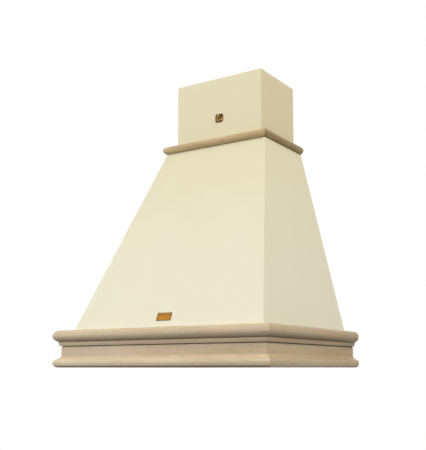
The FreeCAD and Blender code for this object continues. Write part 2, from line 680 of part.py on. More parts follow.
def filter_frame():
    """Channel frame of the right-hand grease filter with its rear tabs and the pad that holds the latch."""
    x0, x1, y0, y1 = filter_limits()
    low, high = TRAY_RECESS, TRAY_RECESS + FILTER_THICKNESS
    bar, grip = FILTER_BAR, FILTER_BAR - PAD_GRIP
    heel = box(x0, x1, y1, y1 + 2 * FILTER_BEVEL, low - 2 * FILTER_BEVEL, low)
    heel.rotate(Vec(x0, y1, low), Vec(1, 0, 0), 45)
    heel.translate(Vec(0, -FILTER_BEVEL, 0))
    block = rounded_box(x0, x1, y0, y1, low, high, FILTER_CORNER).cut(heel)
    window = box(x0 + bar, x1 - bar, y0 + bar, y1 - bar, low - 1, high + 1)
    groove_low = low + (FILTER_THICKNESS - PAD_THICKNESS) / 2
    groove = box(x0 + grip, x1 - grip, y0 + grip, y1 - grip, groove_low, groove_low + PAD_THICKNESS)
    frame = block.cut(Part.makeCompound([window])).cut(groove)
    frame = joined([frame, latch_pad()])
    middle = (x0 + x1) / 2
    tab_low = TRAY_TOP + SEAT_GAP
    tabs = []
    for side in (LEFT, RIGHT):
        x = middle + side * TAB_SPACING / 2
        tabs.append(box(x - TAB_WIDTH / 2, x + TAB_WIDTH / 2, y1 - FILTER_BEVEL, TAB_END,
                        tab_low, tab_low + TAB_SHEET))
    return joined([frame] + tabs).cut(latch_spaces())


def latch_pad():
    """Solid land behind the filter's front bar that the latch is let into."""
    x0, x1, y0, _ = filter_limits()
    middle = (x0 + x1) / 2
    half = LATCH_PAD_WIDTH / 2
    return box(middle - half, middle + half, y0 + FILTER_BAR - PAD_GRIP, y0 + LATCH_PAD_LENGTH, TRAY_RECESS,
               TRAY_RECESS + FILTER_THICKNESS)


def filter_pad():
    """Pad of layered metal mesh, drawn as one sheet with a grid of diamond openings."""
    x0, x1, y0, y1 = filter_limits()
    edge = FILTER_BAR - PAD_GRIP
    low = TRAY_RECESS + (FILTER_THICKNESS - PAD_THICKNESS) / 2
    sheet = box(x0 + edge, x1 - edge, y0 + edge, y1 - edge, low, low + PAD_THICKNESS)
    sheet = sheet.cut(latch_pad())
    step_x = (x1 - x0 - 2 * FILTER_BAR) / PAD_COLUMN_COUNT
    step_y = (y1 - y0 - 2 * FILTER_BAR) / PAD_ROW_COUNT
    half_x, half_y = (step_x - PAD_WEB) / 2, (step_y - PAD_WEB) / 2
    keep_clear = latch_pad().BoundBox
    holes = []
    for column in range(PAD_COLUMN_COUNT):
        for row in range(PAD_ROW_COUNT):
            x = x0 + FILTER_BAR + (column + 0.5) * step_x
            y = y0 + FILTER_BAR + (row + 0.5) * step_y
            near_pad = abs(x - keep_clear.Center.x) < keep_clear.XLength / 2 + half_x
            if near_pad and y - half_y < keep_clear.YMax + PAD_WEB / 2:
                continue
            corners = [(x - half_x, y), (x, y - half_y), (x + half_x, y), (x, y + half_y)]
            diamond = prism(corners, PAD_THICKNESS)
            diamond.translate(Vec(0, 0, low))
            holes.append(diamond)
    return sheet.cut(Part.makeCompound(holes))


def filter_latch():
    """Sliding latch of the right-hand filter: finger grip, body, wings and tongue."""
    x0, x1, y0, _ = filter_limits()
    middle = (x0 + x1) / 2
    front = y0 + FILTER_BAR / 2
    low = TRAY_RECESS - LATCH_GRIP
    wing_low = TRAY_RECESS + LATCH_SILL + SEAT_GAP
    wing_high = wing_low + LATCH_SHEET
    half, end = LATCH_WIDTH / 2, front + LATCH_LENGTH
    wing = half + LATCH_WING
    body = box(middle - half, middle + half, front, end, TRAY_RECESS, wing_high)
    grip = box(middle - half, middle + half, front, front + LATCH_GRIP * 1.5, low, TRAY_RECESS)
    wings = box(middle - wing, middle + wing, front, end, wing_low, wing_high)
    tongue_half = LATCH_TONGUE_WIDTH / 2
    tongue_tip = y0 - FILTER_CLEARANCE + SEAT_GAP
    tongue = box(middle - tongue_half, middle + tongue_half, tongue_tip, front, wing_low, wing_high)
    return joined([body, grip, wings, tongue])


# ------------------------------------------------------------------ lamps and controls
def lamp_housing(side):
    """Pressed lamp can with the bevelled frame that shows under the tray."""
    x = side * LAMP_X
    low, top = TRAY_RECESS - LAMP_LIP, TRAY_TOP + LAMP_CAN_HEIGHT
    seat = TRAY_RECESS + LAMP_WALL
    bevel = 2 * LAMP_BEVEL
    frame = frustum((centred_plan(x, STRIP_Y, LAMP_LENGTH - bevel, LAMP_DEPTH - bevel), low),
                    (centred_plan(x, STRIP_Y, LAMP_LENGTH, LAMP_DEPTH), TRAY_RECESS))
    can = centred_box(x, STRIP_Y, LAMP_CAN_LENGTH, LAMP_CAN_DEPTH, TRAY_RECESS, top)
    bore_length, bore_depth = LAMP_CAN_LENGTH - 2 * LAMP_WALL, LAMP_CAN_DEPTH - 2 * LAMP_WALL
    bore = centred_box(x, STRIP_Y, bore_length, bore_depth, seat, top - LAMP_WALL)
    lip = 2 * LAMP_SEAT
    window = centred_box(x, STRIP_Y, bore_length - lip, bore_depth - lip, low - 1, seat + 1)
    return joined([frame, can]).cut(bore).cut(window)


def lamp_lens(side):
    """Bevelled lens that lies on the lip of the lamp's frame and drops a little through it."""
    x = side * LAMP_X
    seat = TRAY_RECESS + LAMP_WALL
    gap = 2 * (LAMP_WALL + SEAT_GAP)
    length, depth = LAMP_CAN_LENGTH - gap, LAMP_CAN_DEPTH - gap
    sheet = centred_box(x, STRIP_Y, length, depth, seat, seat + LENS_THICKNESS)
    length, depth = length - 2 * LAMP_SEAT, depth - 2 * LAMP_SEAT
    bevel = 2 * LENS_BEVEL
    drop = frustum((centred_plan(x, STRIP_Y, length - bevel, depth - bevel), seat - LENS_DROP),
                   (centred_plan(x, STRIP_Y, length, depth), seat))
    return joined([sheet, drop])


def button_places():
    """X of each push button, from left to right."""
    return [(i - (BUTTON_COUNT - 1) / 2) * BUTTON_PITCH for i in range(BUTTON_COUNT)]


def control_bezel():
    """Plate under the tray with a hollow neck that passes up through it, and a hole for each button."""
    plate_low = TRAY_RECESS - CONTROL_PLATE
    half, deep = CONTROL_WIDTH / 2, CONTROL_DEPTH / 2
    plate = rounded_box(-half, half, STRIP_Y - deep, STRIP_Y + deep, plate_low, TRAY_RECESS, CONTROL_CORNER)
    length, depth = CONTROL_NECK_LENGTH, CONTROL_NECK_DEPTH
    neck_tube = centred_box(0, STRIP_Y, length, depth, TRAY_RECESS, CONTROL_NECK_TOP)
    wall, gap = 2 * CONTROL_WALL, 2 * SEAT_GAP
    tools = [centred_box(0, STRIP_Y, length - wall, depth - wall, TRAY_RECESS, CONTROL_NECK_TOP + 1)]
    for x in button_places():
        tools.append(centred_box(x, STRIP_Y, BUTTON_LENGTH + gap, BUTTON_DEPTH + gap, plate_low - 1,
                                 TRAY_RECESS + 1))
    return joined([plate, neck_tube]).cut(joined(tools))


def switch_block():
    """Block of switches on the bezel's neck, its upper edges bevelled."""
    low, top = CONTROL_NECK_TOP, CONTROL_NECK_TOP + SWITCH_HEIGHT
    bevel = 2 * CONTROL_WALL
    block = centred_box(0, STRIP_Y, CONTROL_NECK_LENGTH, CONTROL_NECK_DEPTH, low, top - CONTROL_WALL)
    cap = frustum((centred_plan(0, STRIP_Y, CONTROL_NECK_LENGTH, CONTROL_NECK_DEPTH), top - CONTROL_WALL),
                  (centred_plan(0, STRIP_Y, CONTROL_NECK_LENGTH - bevel, CONTROL_NECK_DEPTH - bevel), top))
    return joined([block, cap])


def push_button(x):
    """Bevelled button cap with the flange that keeps it in the bezel and the stem that works the switch."""
    face = TRAY_RECESS - CONTROL_PLATE - BUTTON_PROUD
    flange = TRAY_RECESS + SEAT_GAP
    bevel = 2 * BUTTON_BEVEL
    lip = 2 * BUTTON_LIP
    stem_top = CONTROL_NECK_TOP - BUTTON_TRAVEL - SEAT_GAP
    return joined([
        frustum((centred_plan(x, STRIP_Y, BUTTON_LENGTH - bevel, BUTTON_DEPTH - bevel), face),
                (centred_plan(x, STRIP_Y, BUTTON_LENGTH, BUTTON_DEPTH), face + BUTTON_BEVEL)),
        centred_box(x, STRIP_Y, BUTTON_LENGTH, BUTTON_DEPTH, face + BUTTON_BEVEL, flange),
        centred_box(x, STRIP_Y, BUTTON_LENGTH + lip, BUTTON_DEPTH + lip, flange, flange + BUTTON_FLANGE),
        centred_box(x, STRIP_Y, BUTTON_STEM, BUTTON_STEM, flange + BUTTON_FLANGE, stem_top),
    ])


# ------------------------------------------------------------------ blower
def scroll_face(offset, x):
    """Face of the scroll's section, grown by an offset, in the plane at x.

    The spiral is the fan maker's four-centre curve: four quarter arcs about the corners of a small square,
    each smaller than the one before by the side of the square, ending in the tongue beside the outlet.
    """
    step = SCROLL_STEP
    half = step / 2
    centres = [(half, half), (half, -half), (-half, -half), (-half, half)]
    radii = [SCROLL_RADIUS - i * step + offset for i in range(4)]
    place = lambda u, v: Vec(x, BLOWER_Y + u, BLOWER_Z + v)

    def on_arc(i, degrees):
        angle = math.radians(degrees)
        return centres[i][0] + radii[i] * math.cos(angle), centres[i][1] + radii[i] * math.sin(angle)

    inner_wall = SCROLL_REACH - OUTLET_LENGTH - offset
    tongue_angle = math.degrees(math.acos((inner_wall - centres[3][0]) / radii[3]))
    arcs = [(0, 0, -90), (1, -90, -180), (2, -180, -270), (3, -270, -360 + tongue_angle)]
    segments = [(on_arc(i, a), on_arc(i, (a + b) / 2), on_arc(i, b)) for i, a, b in arcs]
    tongue, reach = segments[-1][-1], segments[0][0]
    mouth = OUTLET_RISE
    segments.append((tongue, (inner_wall, mouth)))
    segments.append(((inner_wall, mouth), (reach[0], mouth)))
    segments.append(((reach[0], mouth), reach))
    return outline_face(segments, place), place(*tongue)


def scroll_solid(offset, x0, x1):
    """Solid of the scroll's section between two planes, with the tongue rounded."""
    face, tongue = scroll_face(offset, x0)
    solid = face.extrude(Vec(x1 - x0, 0, 0))
    nose = [e for e in solid.Edges
            if abs(e.CenterOfMass.y - tongue.y) < 1e-6 and abs(e.CenterOfMass.z - tongue.z) < 1e-6]
    return solid.makeFillet(TONGUE_RADIUS - offset, nose)


def scroll_half():
    """Right-hand half of the blower's housing: side wall with its inlet ring, rim and outlet flange."""
    half = SCROLL_WIDTH / 2
    side = half + SCROLL_WALL
    shell = scroll_solid(SCROLL_WALL, 0, side)
    y0, y1 = DUCT_Y - OUTLET_LENGTH / 2, DUCT_Y + OUTLET_LENGTH / 2
    rim = OUTLET_FLANGE
    flange = box(0, half + rim, y0 - rim, y1 + rim, OUTLET_MOUTH - OUTLET_FLANGE_SHEET, OUTLET_MOUTH)
    axis = Vec(side, BLOWER_Y, BLOWER_Z)
    ring = sided_bar(INLET_SIDE_COUNT, INLET_RADIUS + INLET_RING, axis, Vec(INLET_RING_DEPTH, 0, 0))
    cavity = scroll_solid(0, -1, half)
    inlet = sided_bar(INLET_SIDE_COUNT, INLET_RADIUS, Vec(half - 1, BLOWER_Y, BLOWER_Z),
                      Vec(SCROLL_WALL + INLET_RING_DEPTH + 2, 0, 0))
    above = box(-1, half, y0, y1, OUTLET_MOUTH - OUTLET_FLANGE_SHEET - 1, OUTLET_MOUTH + 1)
    return joined([shell, flange, ring]).cut(Part.makeCompound([cavity])).cut(inlet).cut(above)


def impeller():
    """Double-inlet drum of forward-bent blades between two rings, with a middle disc and hub."""
    half = IMPELLER_WIDTH / 2
    lean = math.radians(BLADE_LEAN)
    middle_radius = (IMPELLER_EYE + IMPELLER_RADIUS) / 2
    spin = Vec(1, 0, 0)
    centre = Vec(0, BLOWER_Y, BLOWER_Z)

    def polar(radius, angle):
        return Vec(-half, BLOWER_Y + radius * math.cos(angle), BLOWER_Z + radius * math.sin(angle))

    width = BLADE_SHEET / middle_radius
    stations = [(IMPELLER_EYE, 0.0), (middle_radius, lean * 0.3), (IMPELLER_RADIUS, lean)]
    corners = [polar(r, a) for r, a in stations] + [polar(r, a - width) for r, a in reversed(stations)]
    blade = Part.Face(Part.makePolygon(corners + corners[:1])).extrude(Vec(IMPELLER_WIDTH, 0, 0))
    blades = []
    for i in range(BLADE_COUNT):
        copy = blade.copy()
        copy.rotate(centre, spin, i * 360 / BLADE_COUNT)
        blades.append(copy)
    flats = 2 * BLADE_COUNT
    rim = IMPELLER_RADIUS + SEAT_GAP
    rings = []
    for x in (-half, half - IMPELLER_RING):
        ring = sided_bar(flats, rim, Vec(x, BLOWER_Y, BLOWER_Z), Vec(IMPELLER_RING, 0, 0))
        eye = sided_bar(flats, IMPELLER_EYE - SEAT_GAP, Vec(x, BLOWER_Y, BLOWER_Z), Vec(IMPELLER_RING, 0, 0))
        rings.append(ring.cut(eye))
    disc = sided_bar(flats, rim, Vec(-BLADE_SHEET, BLOWER_Y, BLOWER_Z), Vec(2 * BLADE_SHEET, 0, 0))
    hub = sided_bar(BLADE_COUNT, HUB_RADIUS, Vec(-HUB_LENGTH / 2, BLOWER_Y, BLOWER_Z), Vec(HUB_LENGTH, 0, 0))
    bore = cylinder(SHAFT_RADIUS, Vec(-HUB_LENGTH, BLOWER_Y, BLOWER_Z), Vec(2 * HUB_LENGTH, 0, 0))
    return joined(blades + rings + [disc, hub]).cut(bore)


def motor_shaft():
    """Shaft from the middle of the motor to the far end of the impeller's hub."""
    start = MOTOR_FACE - MOTOR_LENGTH / 2
    return cylinder(SHAFT_RADIUS, Vec(start, BLOWER_Y, BLOWER_Z), Vec(HUB_LENGTH / 2 - start, 0, 0))


def motor():
    """Motor in the left-hand eye of the impeller, its case drawn with flats."""
    centre = Vec(MOTOR_END, BLOWER_Y, BLOWER_Z)
    body = sided_bar(MOTOR_SIDE_COUNT, MOTOR_RADIUS, centre, Vec(MOTOR_LENGTH, 0, 0))
    rims = [e for e in body.Edges if abs(e.Vertexes[0].X - e.Vertexes[1].X) < 1e-6]
    body = body.makeChamfer(MOTOR_EDGE, rims)
    start = MOTOR_FACE - MOTOR_LENGTH / 2 - SEAT_GAP
    bore = cylinder(SHAFT_RADIUS + SHAFT_CLEARANCE, Vec(start, BLOWER_Y, BLOWER_Z), Vec(MOTOR_LENGTH, 0, 0))
    return body.cut(bore)


def bracket_angles():
    """Directions of the bracket's arms, in degrees from the front."""
    return [90 + i * 360 / BRACKET_ARM_COUNT for i in range(BRACKET_ARM_COUNT)]


def motor_bracket():
    """Flat spider behind the motor, with arms to feet on the scroll's left side."""
    side = -(SCROLL_WIDTH / 2 + SCROLL_WALL)
    outer = MOTOR_END - BRACKET_SHEET
    centre = Vec(outer, BLOWER_Y, BLOWER_Z)
    pieces = [sided_bar(4 * BRACKET_ARM_COUNT, BRACKET_PLATE_RADIUS, centre, Vec(BRACKET_SHEET, 0, 0))]
    for angle in bracket_angles():
        arm = box(outer, MOTOR_END, 0, BRACKET_CIRCLE, -BRACKET_ARM / 2, BRACKET_ARM / 2)
        foot = box(outer, side, BRACKET_CIRCLE - BRACKET_FOOT / 2, BRACKET_CIRCLE + BRACKET_FOOT / 2,
                   -BRACKET_ARM / 2, BRACKET_ARM / 2)
        limb = joined([arm, foot])
        limb.rotate(Vec(0, 0, 0), Vec(1, 0, 0), angle)
        limb.translate(Vec(0, BLOWER_Y, BLOWER_Z))
        pieces.append(limb)
    return joined(pieces)


def blower_screw_axes():
    """Screws down through collar flange, housing top and scroll flange at the outlet's corners."""
    x = SCROLL_WIDTH / 2 + OUTLET_FLANGE / 2
    y = OUTLET_LENGTH / 2 + OUTLET_FLANGE / 2
    top = HOUSING_TOP + OUTLET_FLANGE_SHEET
    down = Vec(0, 0, -2 * OUTLET_FLANGE_SHEET - SHEET)
    corners = [(i * x, DUCT_Y + j * y) for i in (LEFT, RIGHT) for j in (LEFT, RIGHT)]
    return [(Vec(x, y, top), down) for x, y in corners]


# ------------------------------------------------------------------ duct collar and flaps
def square_to_round(grow, low, high):
    """Folded solid from the blower's rectangular outlet up to a many-sided ring under the round collar."""
    half, deep = SCROLL_WIDTH / 2 + grow, OUTLET_LENGTH / 2 + grow
    radius = DUCT_RADIUS - COLLAR_WALL + grow
    square = [Vec(i * half, DUCT_Y + j * deep, low) for i, j in ((1, 1), (-1, 1), (-1, -1), (1, -1))]
    ring = []
    for i in range(COLLAR_FOLD_COUNT):
        turn = 2 * math.pi * i / COLLAR_FOLD_COUNT
        ring.append(Vec(radius * math.cos(turn), DUCT_Y + radius * math.sin(turn), high))
    loops = [square, ring]
    quarter = COLLAR_FOLD_COUNT // 4
    for side, corner in enumerate(square):
        for i in range(side * quarter, (side + 1) * quarter):
            loops.append([corner, ring[i], ring[(i + 1) % COLLAR_FOLD_COUNT]])
        loops.append([corner, ring[(side + 1) * quarter % COLLAR_FOLD_COUNT], square[(side + 1) % 4]])
    solid = Part.makeSolid(Part.makeShell([Part.Face(Part.makePolygon(loop + loop[:1])) for loop in loops]))
    if solid.Volume < 0:
        solid.reverse()
    return solid


def duct_collar():
    """Flanged collar for the duct: folded foot and round tube with the flaps' stops and the pin's ears."""
    foot = HOUSING_TOP + OUTLET_FLANGE_SHEET
    half, deep = SCROLL_WIDTH / 2, OUTLET_LENGTH / 2
    flange = box(-half - OUTLET_FLANGE, half + OUTLET_FLANGE, DUCT_Y - deep - OUTLET_FLANGE,
                 DUCT_Y + deep + OUTLET_FLANGE, HOUSING_TOP, foot)
    centre = Vec(0, DUCT_Y, COLLAR_FOOT)
    inner_radius = DUCT_RADIUS - COLLAR_WALL
    tube = cylinder(DUCT_RADIUS, centre, Vec(0, 0, COLLAR_LENGTH))
    tube = tube.cut(cylinder(inner_radius, centre, Vec(0, 0, COLLAR_LENGTH)))
    foot_shell = square_to_round(COLLAR_WALL, foot, COLLAR_FOOT).cut(square_to_round(0, foot, COLLAR_FOOT))
    opening = box(-half, half, DUCT_Y - deep, DUCT_Y + deep, HOUSING_TOP - 1, foot + 1)
    level = Vec(0, DUCT_Y, STOP_TOP - STOP_SHEET)
    bar = centred_box(0, DUCT_Y, 2 * inner_radius, STOP_BAR, level.z, STOP_TOP)
    lugs = centred_box(0, DUCT_Y, STOP_LUG, 2 * inner_radius, level.z, STOP_TOP)
    lugs = lugs.cut(centred_box(0, DUCT_Y, STOP_LUG, 2 * inner_radius - 2 * STOP_LUG, level.z, STOP_TOP))
    stops = bar.fuse(lugs).common(cylinder(inner_radius + COLLAR_WALL / 2, level, Vec(0, 0, STOP_SHEET)))
    ear_x = inner_radius - EAR_INSET - EAR_SHEET / 2
    ear_top = FLAP_PIN_Z + EAR_DEPTH / 2
    ears = []
    for side in (LEFT, RIGHT):
        ears.append(centred_box(side * ear_x, DUCT_Y, EAR_SHEET, EAR_DEPTH, level.z, ear_top))
    pin_hole = sided_hole(FLAP_PIN_RADIUS, Vec(-DUCT_RADIUS, DUCT_Y, FLAP_PIN_Z), Vec(2 * DUCT_RADIUS, 0, 0))
    ears = [ear.cut(pin_hole) for ear in ears]
    collar = joined([flange.cut(opening), foot_shell, tube, stops] + ears)
    return collar.cut(screw_holes(blower_screw_axes()))


def damper_pin():
    """Pin across the collar, held in two ears, that both flaps turn on."""
    reach = DUCT_RADIUS - COLLAR_WALL - SEAT_GAP
    return cylinder(FLAP_PIN_RADIUS, Vec(-reach, DUCT_Y, FLAP_PIN_Z), Vec(2 * reach, 0, 0))


def damper_flap():
    """Front non-return flap: a half disc on two knuckles round the pin."""
    radius = DUCT_RADIUS - COLLAR_WALL - FLAP_CLEARANCE
    edge = KNUCKLE_RADIUS + FLAP_GAP
    level = Vec(0, DUCT_Y, FLAP_BOTTOM)
    disc = cylinder(radius, level, Vec(0, 0, FLAP_SHEET))
    top = FLAP_BOTTOM + FLAP_SHEET
    front_half = box(-radius, radius, DUCT_Y - 2 * radius, DUCT_Y - edge, FLAP_BOTTOM, top)
    pieces = [disc.common(front_half)]
    for x in (-1.5 * KNUCKLE_PITCH, 0.5 * KNUCKLE_PITCH):
        start, end = x - KNUCKLE_LENGTH / 2, x + KNUCKLE_LENGTH / 2
        pieces.append(box(start, end, DUCT_Y - edge, DUCT_Y, FLAP_BOTTOM, top))
        pieces.append(sided_bar(8, KNUCKLE_RADIUS, Vec(start, DUCT_Y, FLAP_PIN_Z), Vec(KNUCKLE_LENGTH, 0, 0)))
    reach = Vec(-2 * radius, DUCT_Y, FLAP_PIN_Z)
    bore = sided_hole(FLAP_PIN_RADIUS + KNUCKLE_CLEARANCE, reach, Vec(4 * radius, 0, 0))
    return joined(pieces).cut(bore)


def damper_flaps():
    """Front flap and the same flap turned round for the back."""
    front = damper_flap()
    back = front.copy()
    back.rotate(Vec(0, DUCT_Y, 0), Vec(0, 0, 1), 180)
    return {"damper_flap_front": front, "damper_flap_back": back}


# ------------------------------------------------------------------ connection box and screws
def connection_box():
    """Mains connection box on top of the housing, with a lid that overhangs a little and an upright gland."""
    x0, y0 = -HOUSING_HALF + BOX_FROM_LEFT, -HOUSING_FRONT + BOX_FROM_FRONT
    x1, y1 = x0 + BOX_WIDTH, y0 + BOX_DEPTH
    lid_low = HOUSING_TOP + BOX_HEIGHT - BOX_LID
    case = box(x0, x1, y0, y1, HOUSING_TOP, lid_low)
    lid = box(x0 - BOX_LIP, x1 + BOX_LIP, y0 - BOX_LIP, y1 + BOX_LIP, lid_low, HOUSING_TOP + BOX_HEIGHT)
    foot = Vec(x1 - GLAND_INSET, (y0 + y1) / 2, HOUSING_TOP + BOX_HEIGHT)
    nut = sided_bar(6, GLAND_NUT, foot, Vec(0, 0, GLAND_NUT_LENGTH))
    cap = sided_bar(GLAND_SIDE_COUNT, GLAND_RADIUS, foot, Vec(0, 0, GLAND_LENGTH))
    gland = joined([nut, cap]).cut(cylinder(GLAND_BORE, foot, Vec(0, 0, GLAND_LENGTH)))
    return {"connection_box": joined([case, lid]), "cable_gland": gland}


def screws():
    """Screws of the tray and of the blower's outlet, each group of one size."""
    tray_screws = []
    for start, along in tray_screw_axes():
        one = screw(start, along)
        tray_screws.extend([one, mirrored(one)])
    return {
        "tray_screws": Part.makeCompound(tray_screws),
        "blower_screws": Part.makeCompound([screw(*axis) for axis in blower_screw_axes()]),
    }


# ------------------------------------------------------------------ the whole hood
def hood():
    """Every piece of the hood by name."""
    pieces = mitred_frame("base_moulding", base_outline(), HALF, HOOD_DEPTH, MOULDING_THICKNESS, 0)
    pieces.update(base_frame())
    pieces.update(canopy())
    pieces.update(neck())
    pieces.update(chimney())
    pieces.update(outside_plates())
    pieces["insert_tray"] = tray()
    pieces["insert_housing"] = housing()
    pieces.update(for_both_sides("filter_frame", filter_frame()))
    pieces.update(for_both_sides("filter_pad", filter_pad()))
    pieces.update(for_both_sides("filter_latch", filter_latch()))
    for side, word in ((LEFT, "left"), (RIGHT, "right")):
        pieces["lamp_housing_" + word] = lamp_housing(side)
        pieces["lamp_lens_" + word] = lamp_lens(side)
    pieces["control_bezel"] = control_bezel()
    pieces["switch_block"] = switch_block()
    for number, x in enumerate(button_places(), 1):
        pieces["button_%d" % number] = push_button(x)
    outlet_holes = screw_holes(blower_screw_axes())
    pieces.update(for_both_sides("blower_half", scroll_half().cut(outlet_holes)))
    pieces["impeller"] = impeller()
    pieces["motor_shaft"] = motor_shaft()
    pieces["motor"] = motor()
    pieces["motor_bracket"] = motor_bracket()
    pieces["duct_collar"] = duct_collar()
    pieces["damper_pin"] = damper_pin()
    pieces.update(damper_flaps())
    pieces.update(connection_box())
    pieces.update(screws())
    return pieces


def main():
    """Build every piece and write each to its own file."""
    os.makedirs("parts", exist_ok=True)
    pieces = hood()
    for name, shape in pieces.items():
        sound = shape.isValid() and all(solid.Volume > 0 for solid in shape.Solids)
        state = "" if sound else "UNSOUND"
        print("%-24s %2d solid(s) %12.1f mm3 %s" % (name, len(shape.Solids), shape.Volume, state))
        shape.exportStep("parts/%s.step" % name)
    print(len(pieces), "pieces")


main()
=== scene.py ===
"""Looks of a joinery cover for a wall hood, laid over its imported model.

The painted panels, raw beech mouldings and bare plates are built here from the same sizes as the
model's, and the steel insert, filters, lamps, switches and blower get eased edges, fasteners and
finishes. Lengths are metres: X to the right, Y into the wall, Z up from the underside.
"""

import json
import logging
import math
from dataclasses import dataclass
from enum import Enum
from itertools import product
from typing import Callable, Iterable, Optional, Sequence, Union

import bmesh
import bpy
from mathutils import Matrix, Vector

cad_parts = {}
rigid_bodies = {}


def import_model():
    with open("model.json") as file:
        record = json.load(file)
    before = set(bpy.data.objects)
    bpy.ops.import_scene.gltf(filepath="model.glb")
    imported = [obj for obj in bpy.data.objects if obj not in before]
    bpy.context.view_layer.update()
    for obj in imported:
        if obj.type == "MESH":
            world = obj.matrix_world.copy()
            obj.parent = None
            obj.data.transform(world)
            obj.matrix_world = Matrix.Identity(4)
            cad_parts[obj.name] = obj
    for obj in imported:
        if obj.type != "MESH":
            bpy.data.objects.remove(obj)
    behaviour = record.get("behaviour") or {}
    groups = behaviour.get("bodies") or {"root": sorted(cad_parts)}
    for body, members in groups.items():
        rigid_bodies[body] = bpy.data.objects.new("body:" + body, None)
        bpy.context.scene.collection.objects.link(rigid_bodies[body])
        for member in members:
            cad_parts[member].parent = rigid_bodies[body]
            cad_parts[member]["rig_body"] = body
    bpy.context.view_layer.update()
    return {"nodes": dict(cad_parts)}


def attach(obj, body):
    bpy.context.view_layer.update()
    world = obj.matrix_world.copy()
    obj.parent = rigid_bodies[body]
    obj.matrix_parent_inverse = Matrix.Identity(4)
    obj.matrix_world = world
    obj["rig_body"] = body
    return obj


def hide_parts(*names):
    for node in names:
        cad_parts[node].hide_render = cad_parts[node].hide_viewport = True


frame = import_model()

logging.basicConfig(level=logging.INFO, format="%(name)s: %(message)s")
LOG = logging.getLogger("hood")

MM = 0.001
NEAR = 0.001 * MM
LEFT, RIGHT = SIDES = (-1, 1)
WORDS = ("left", "right")
UP, DOWN = (0.0, 0.0, 1.0), (0.0, 0.0, -1.0)
Colour = tuple[float, float, float, float]
Point = tuple[float, float, float]


def tint(red: int, green: int, blue: int) -> Colour:
    """Turn a paint-chart colour into the renderer's linear light.

    Args:
        red, green, blue: display values from 0 to 255.

    Returns:
        The colour in linear light, opaque.
    """
    def linear(value: int) -> float:
        """Undo the display curve of one channel."""
        share = value / 255
        return share / 12.92 if share <= 0.04045 else ((share + 0.055) / 1.055) ** 2.4

    return linear(red), linear(green), linear(blue), 1.0


def dimmed(colour: Colour, share: float) -> Colour:
    """Give a share of a colour's light."""
    return (*(channel * share for channel in colour[:3]), 1.0)


# ---------------------------------------------------------------- materials
class Wire:
    """An output of a node, with arithmetic that adds Math nodes."""

    def __init__(self, graph: "Graph", socket: bpy.types.NodeSocket) -> None:
        """Keep the graph that the arithmetic is added to."""
        self.graph = graph
        self.socket = socket

    def math(self, operation: str, *terms: "Term") -> "Wire":
        """Add one Math node.

        Args:
            operation: the node's operation.
            terms: its inputs in order.

        Returns:
            The node's value.
        """
        return self.graph.node("ShaderNodeMath", {"operation": operation}, dict(enumerate(terms)))

    def __add__(self, other: "Term") -> "Wire":
        """Add a value."""
        return self.math("ADD", self, other)

    def __sub__(self, other: "Term") -> "Wire":
        """Take a value away."""
        return self.math("SUBTRACT", self, other)

    def __rsub__(self, other: "Term") -> "Wire":
        """Take this away from a value."""
        return self.math("SUBTRACT", other, self)

    def __mul__(self, other: "Term") -> "Wire":
        """Multiply by a value."""
        return self.math("MULTIPLY", self, other)

    def __truediv__(self, other: "Term") -> "Wire":
        """Divide by a value."""
        return self.math("DIVIDE", self, other)

    def __pow__(self, other: "Term") -> "Wire":
        """Raise to a power."""
        return self.math("POWER", self, other)

    __radd__ = __add__
    __rmul__ = __mul__

    def sine(self) -> "Wire":
        """Take the sine."""
        return self.math("SINE", self)

    def greater(self, other: "Term") -> "Wire":
        """Take the greater of two values."""
        return self.math("MAXIMUM", self, other)

    def below(self, other: "Term") -> "Wire":
        """Give 1 where this is less than the other, and 0 elsewhere."""
        return self.math("LESS_THAN", self, other)

    def rise(self, low: float, high: float) -> "Wire":
        """Go smoothly from 0 at low to 1 at high; low may be the greater."""
        settings = {"interpolation_type": "SMOOTHSTEP"}
        return self.graph.node("ShaderNodeMapRange", settings, {0: self, 1: low, 2: high})


Term = Union[Wire, float]


class Graph:
    """A node tree while it is being written."""

    def __init__(self, tree: bpy.types.NodeTree) -> None:
        """Keep the tree that nodes are added to."""
        self.tree = tree

    def node(self, kind: str, settings: Optional[dict] = None, inputs: Optional[dict] = None,
             output: Union[int, str] = 0) -> Wire:
        """Add any node.

        Args:
            kind: the node's type.
            settings: its properties, set first.
            inputs: values or wires by the socket's name or number; a list of wires joins them.
            output: the socket that is handed back.

        Returns:
            The chosen output.
        """
        made = self.tree.nodes.new(kind)
        for key, value in (settings or {}).items():
            setattr(made, key, value)
        for key, value in (inputs or {}).items():
            self.feed(made.inputs[key], value)
        return Wire(self, made.outputs[output])

    def feed(self, socket: bpy.types.NodeSocket, value: object) -> None:
        """Link a wire or several to a socket, or set the socket's own value."""
        if isinstance(value, list):
            for wire in value:
                self.feed(socket, wire)
        elif isinstance(value, Wire):
            self.tree.links.new(value.socket, socket)
        else:
            socket.default_value = value

    def vector(self, x: Term, y: Term, z: Term) -> Wire:
        """Put three values together."""
        return self.node("ShaderNodeCombineXYZ", inputs={0: x, 1: y, 2: z})

    def parts(self, vector: Wire) -> tuple[Wire, Wire, Wire]:
        """Take a vector apart."""
        first = self.node("ShaderNodeSeparateXYZ", inputs={0: vector})
        return tuple(Wire(self, socket) for socket in first.socket.node.outputs)


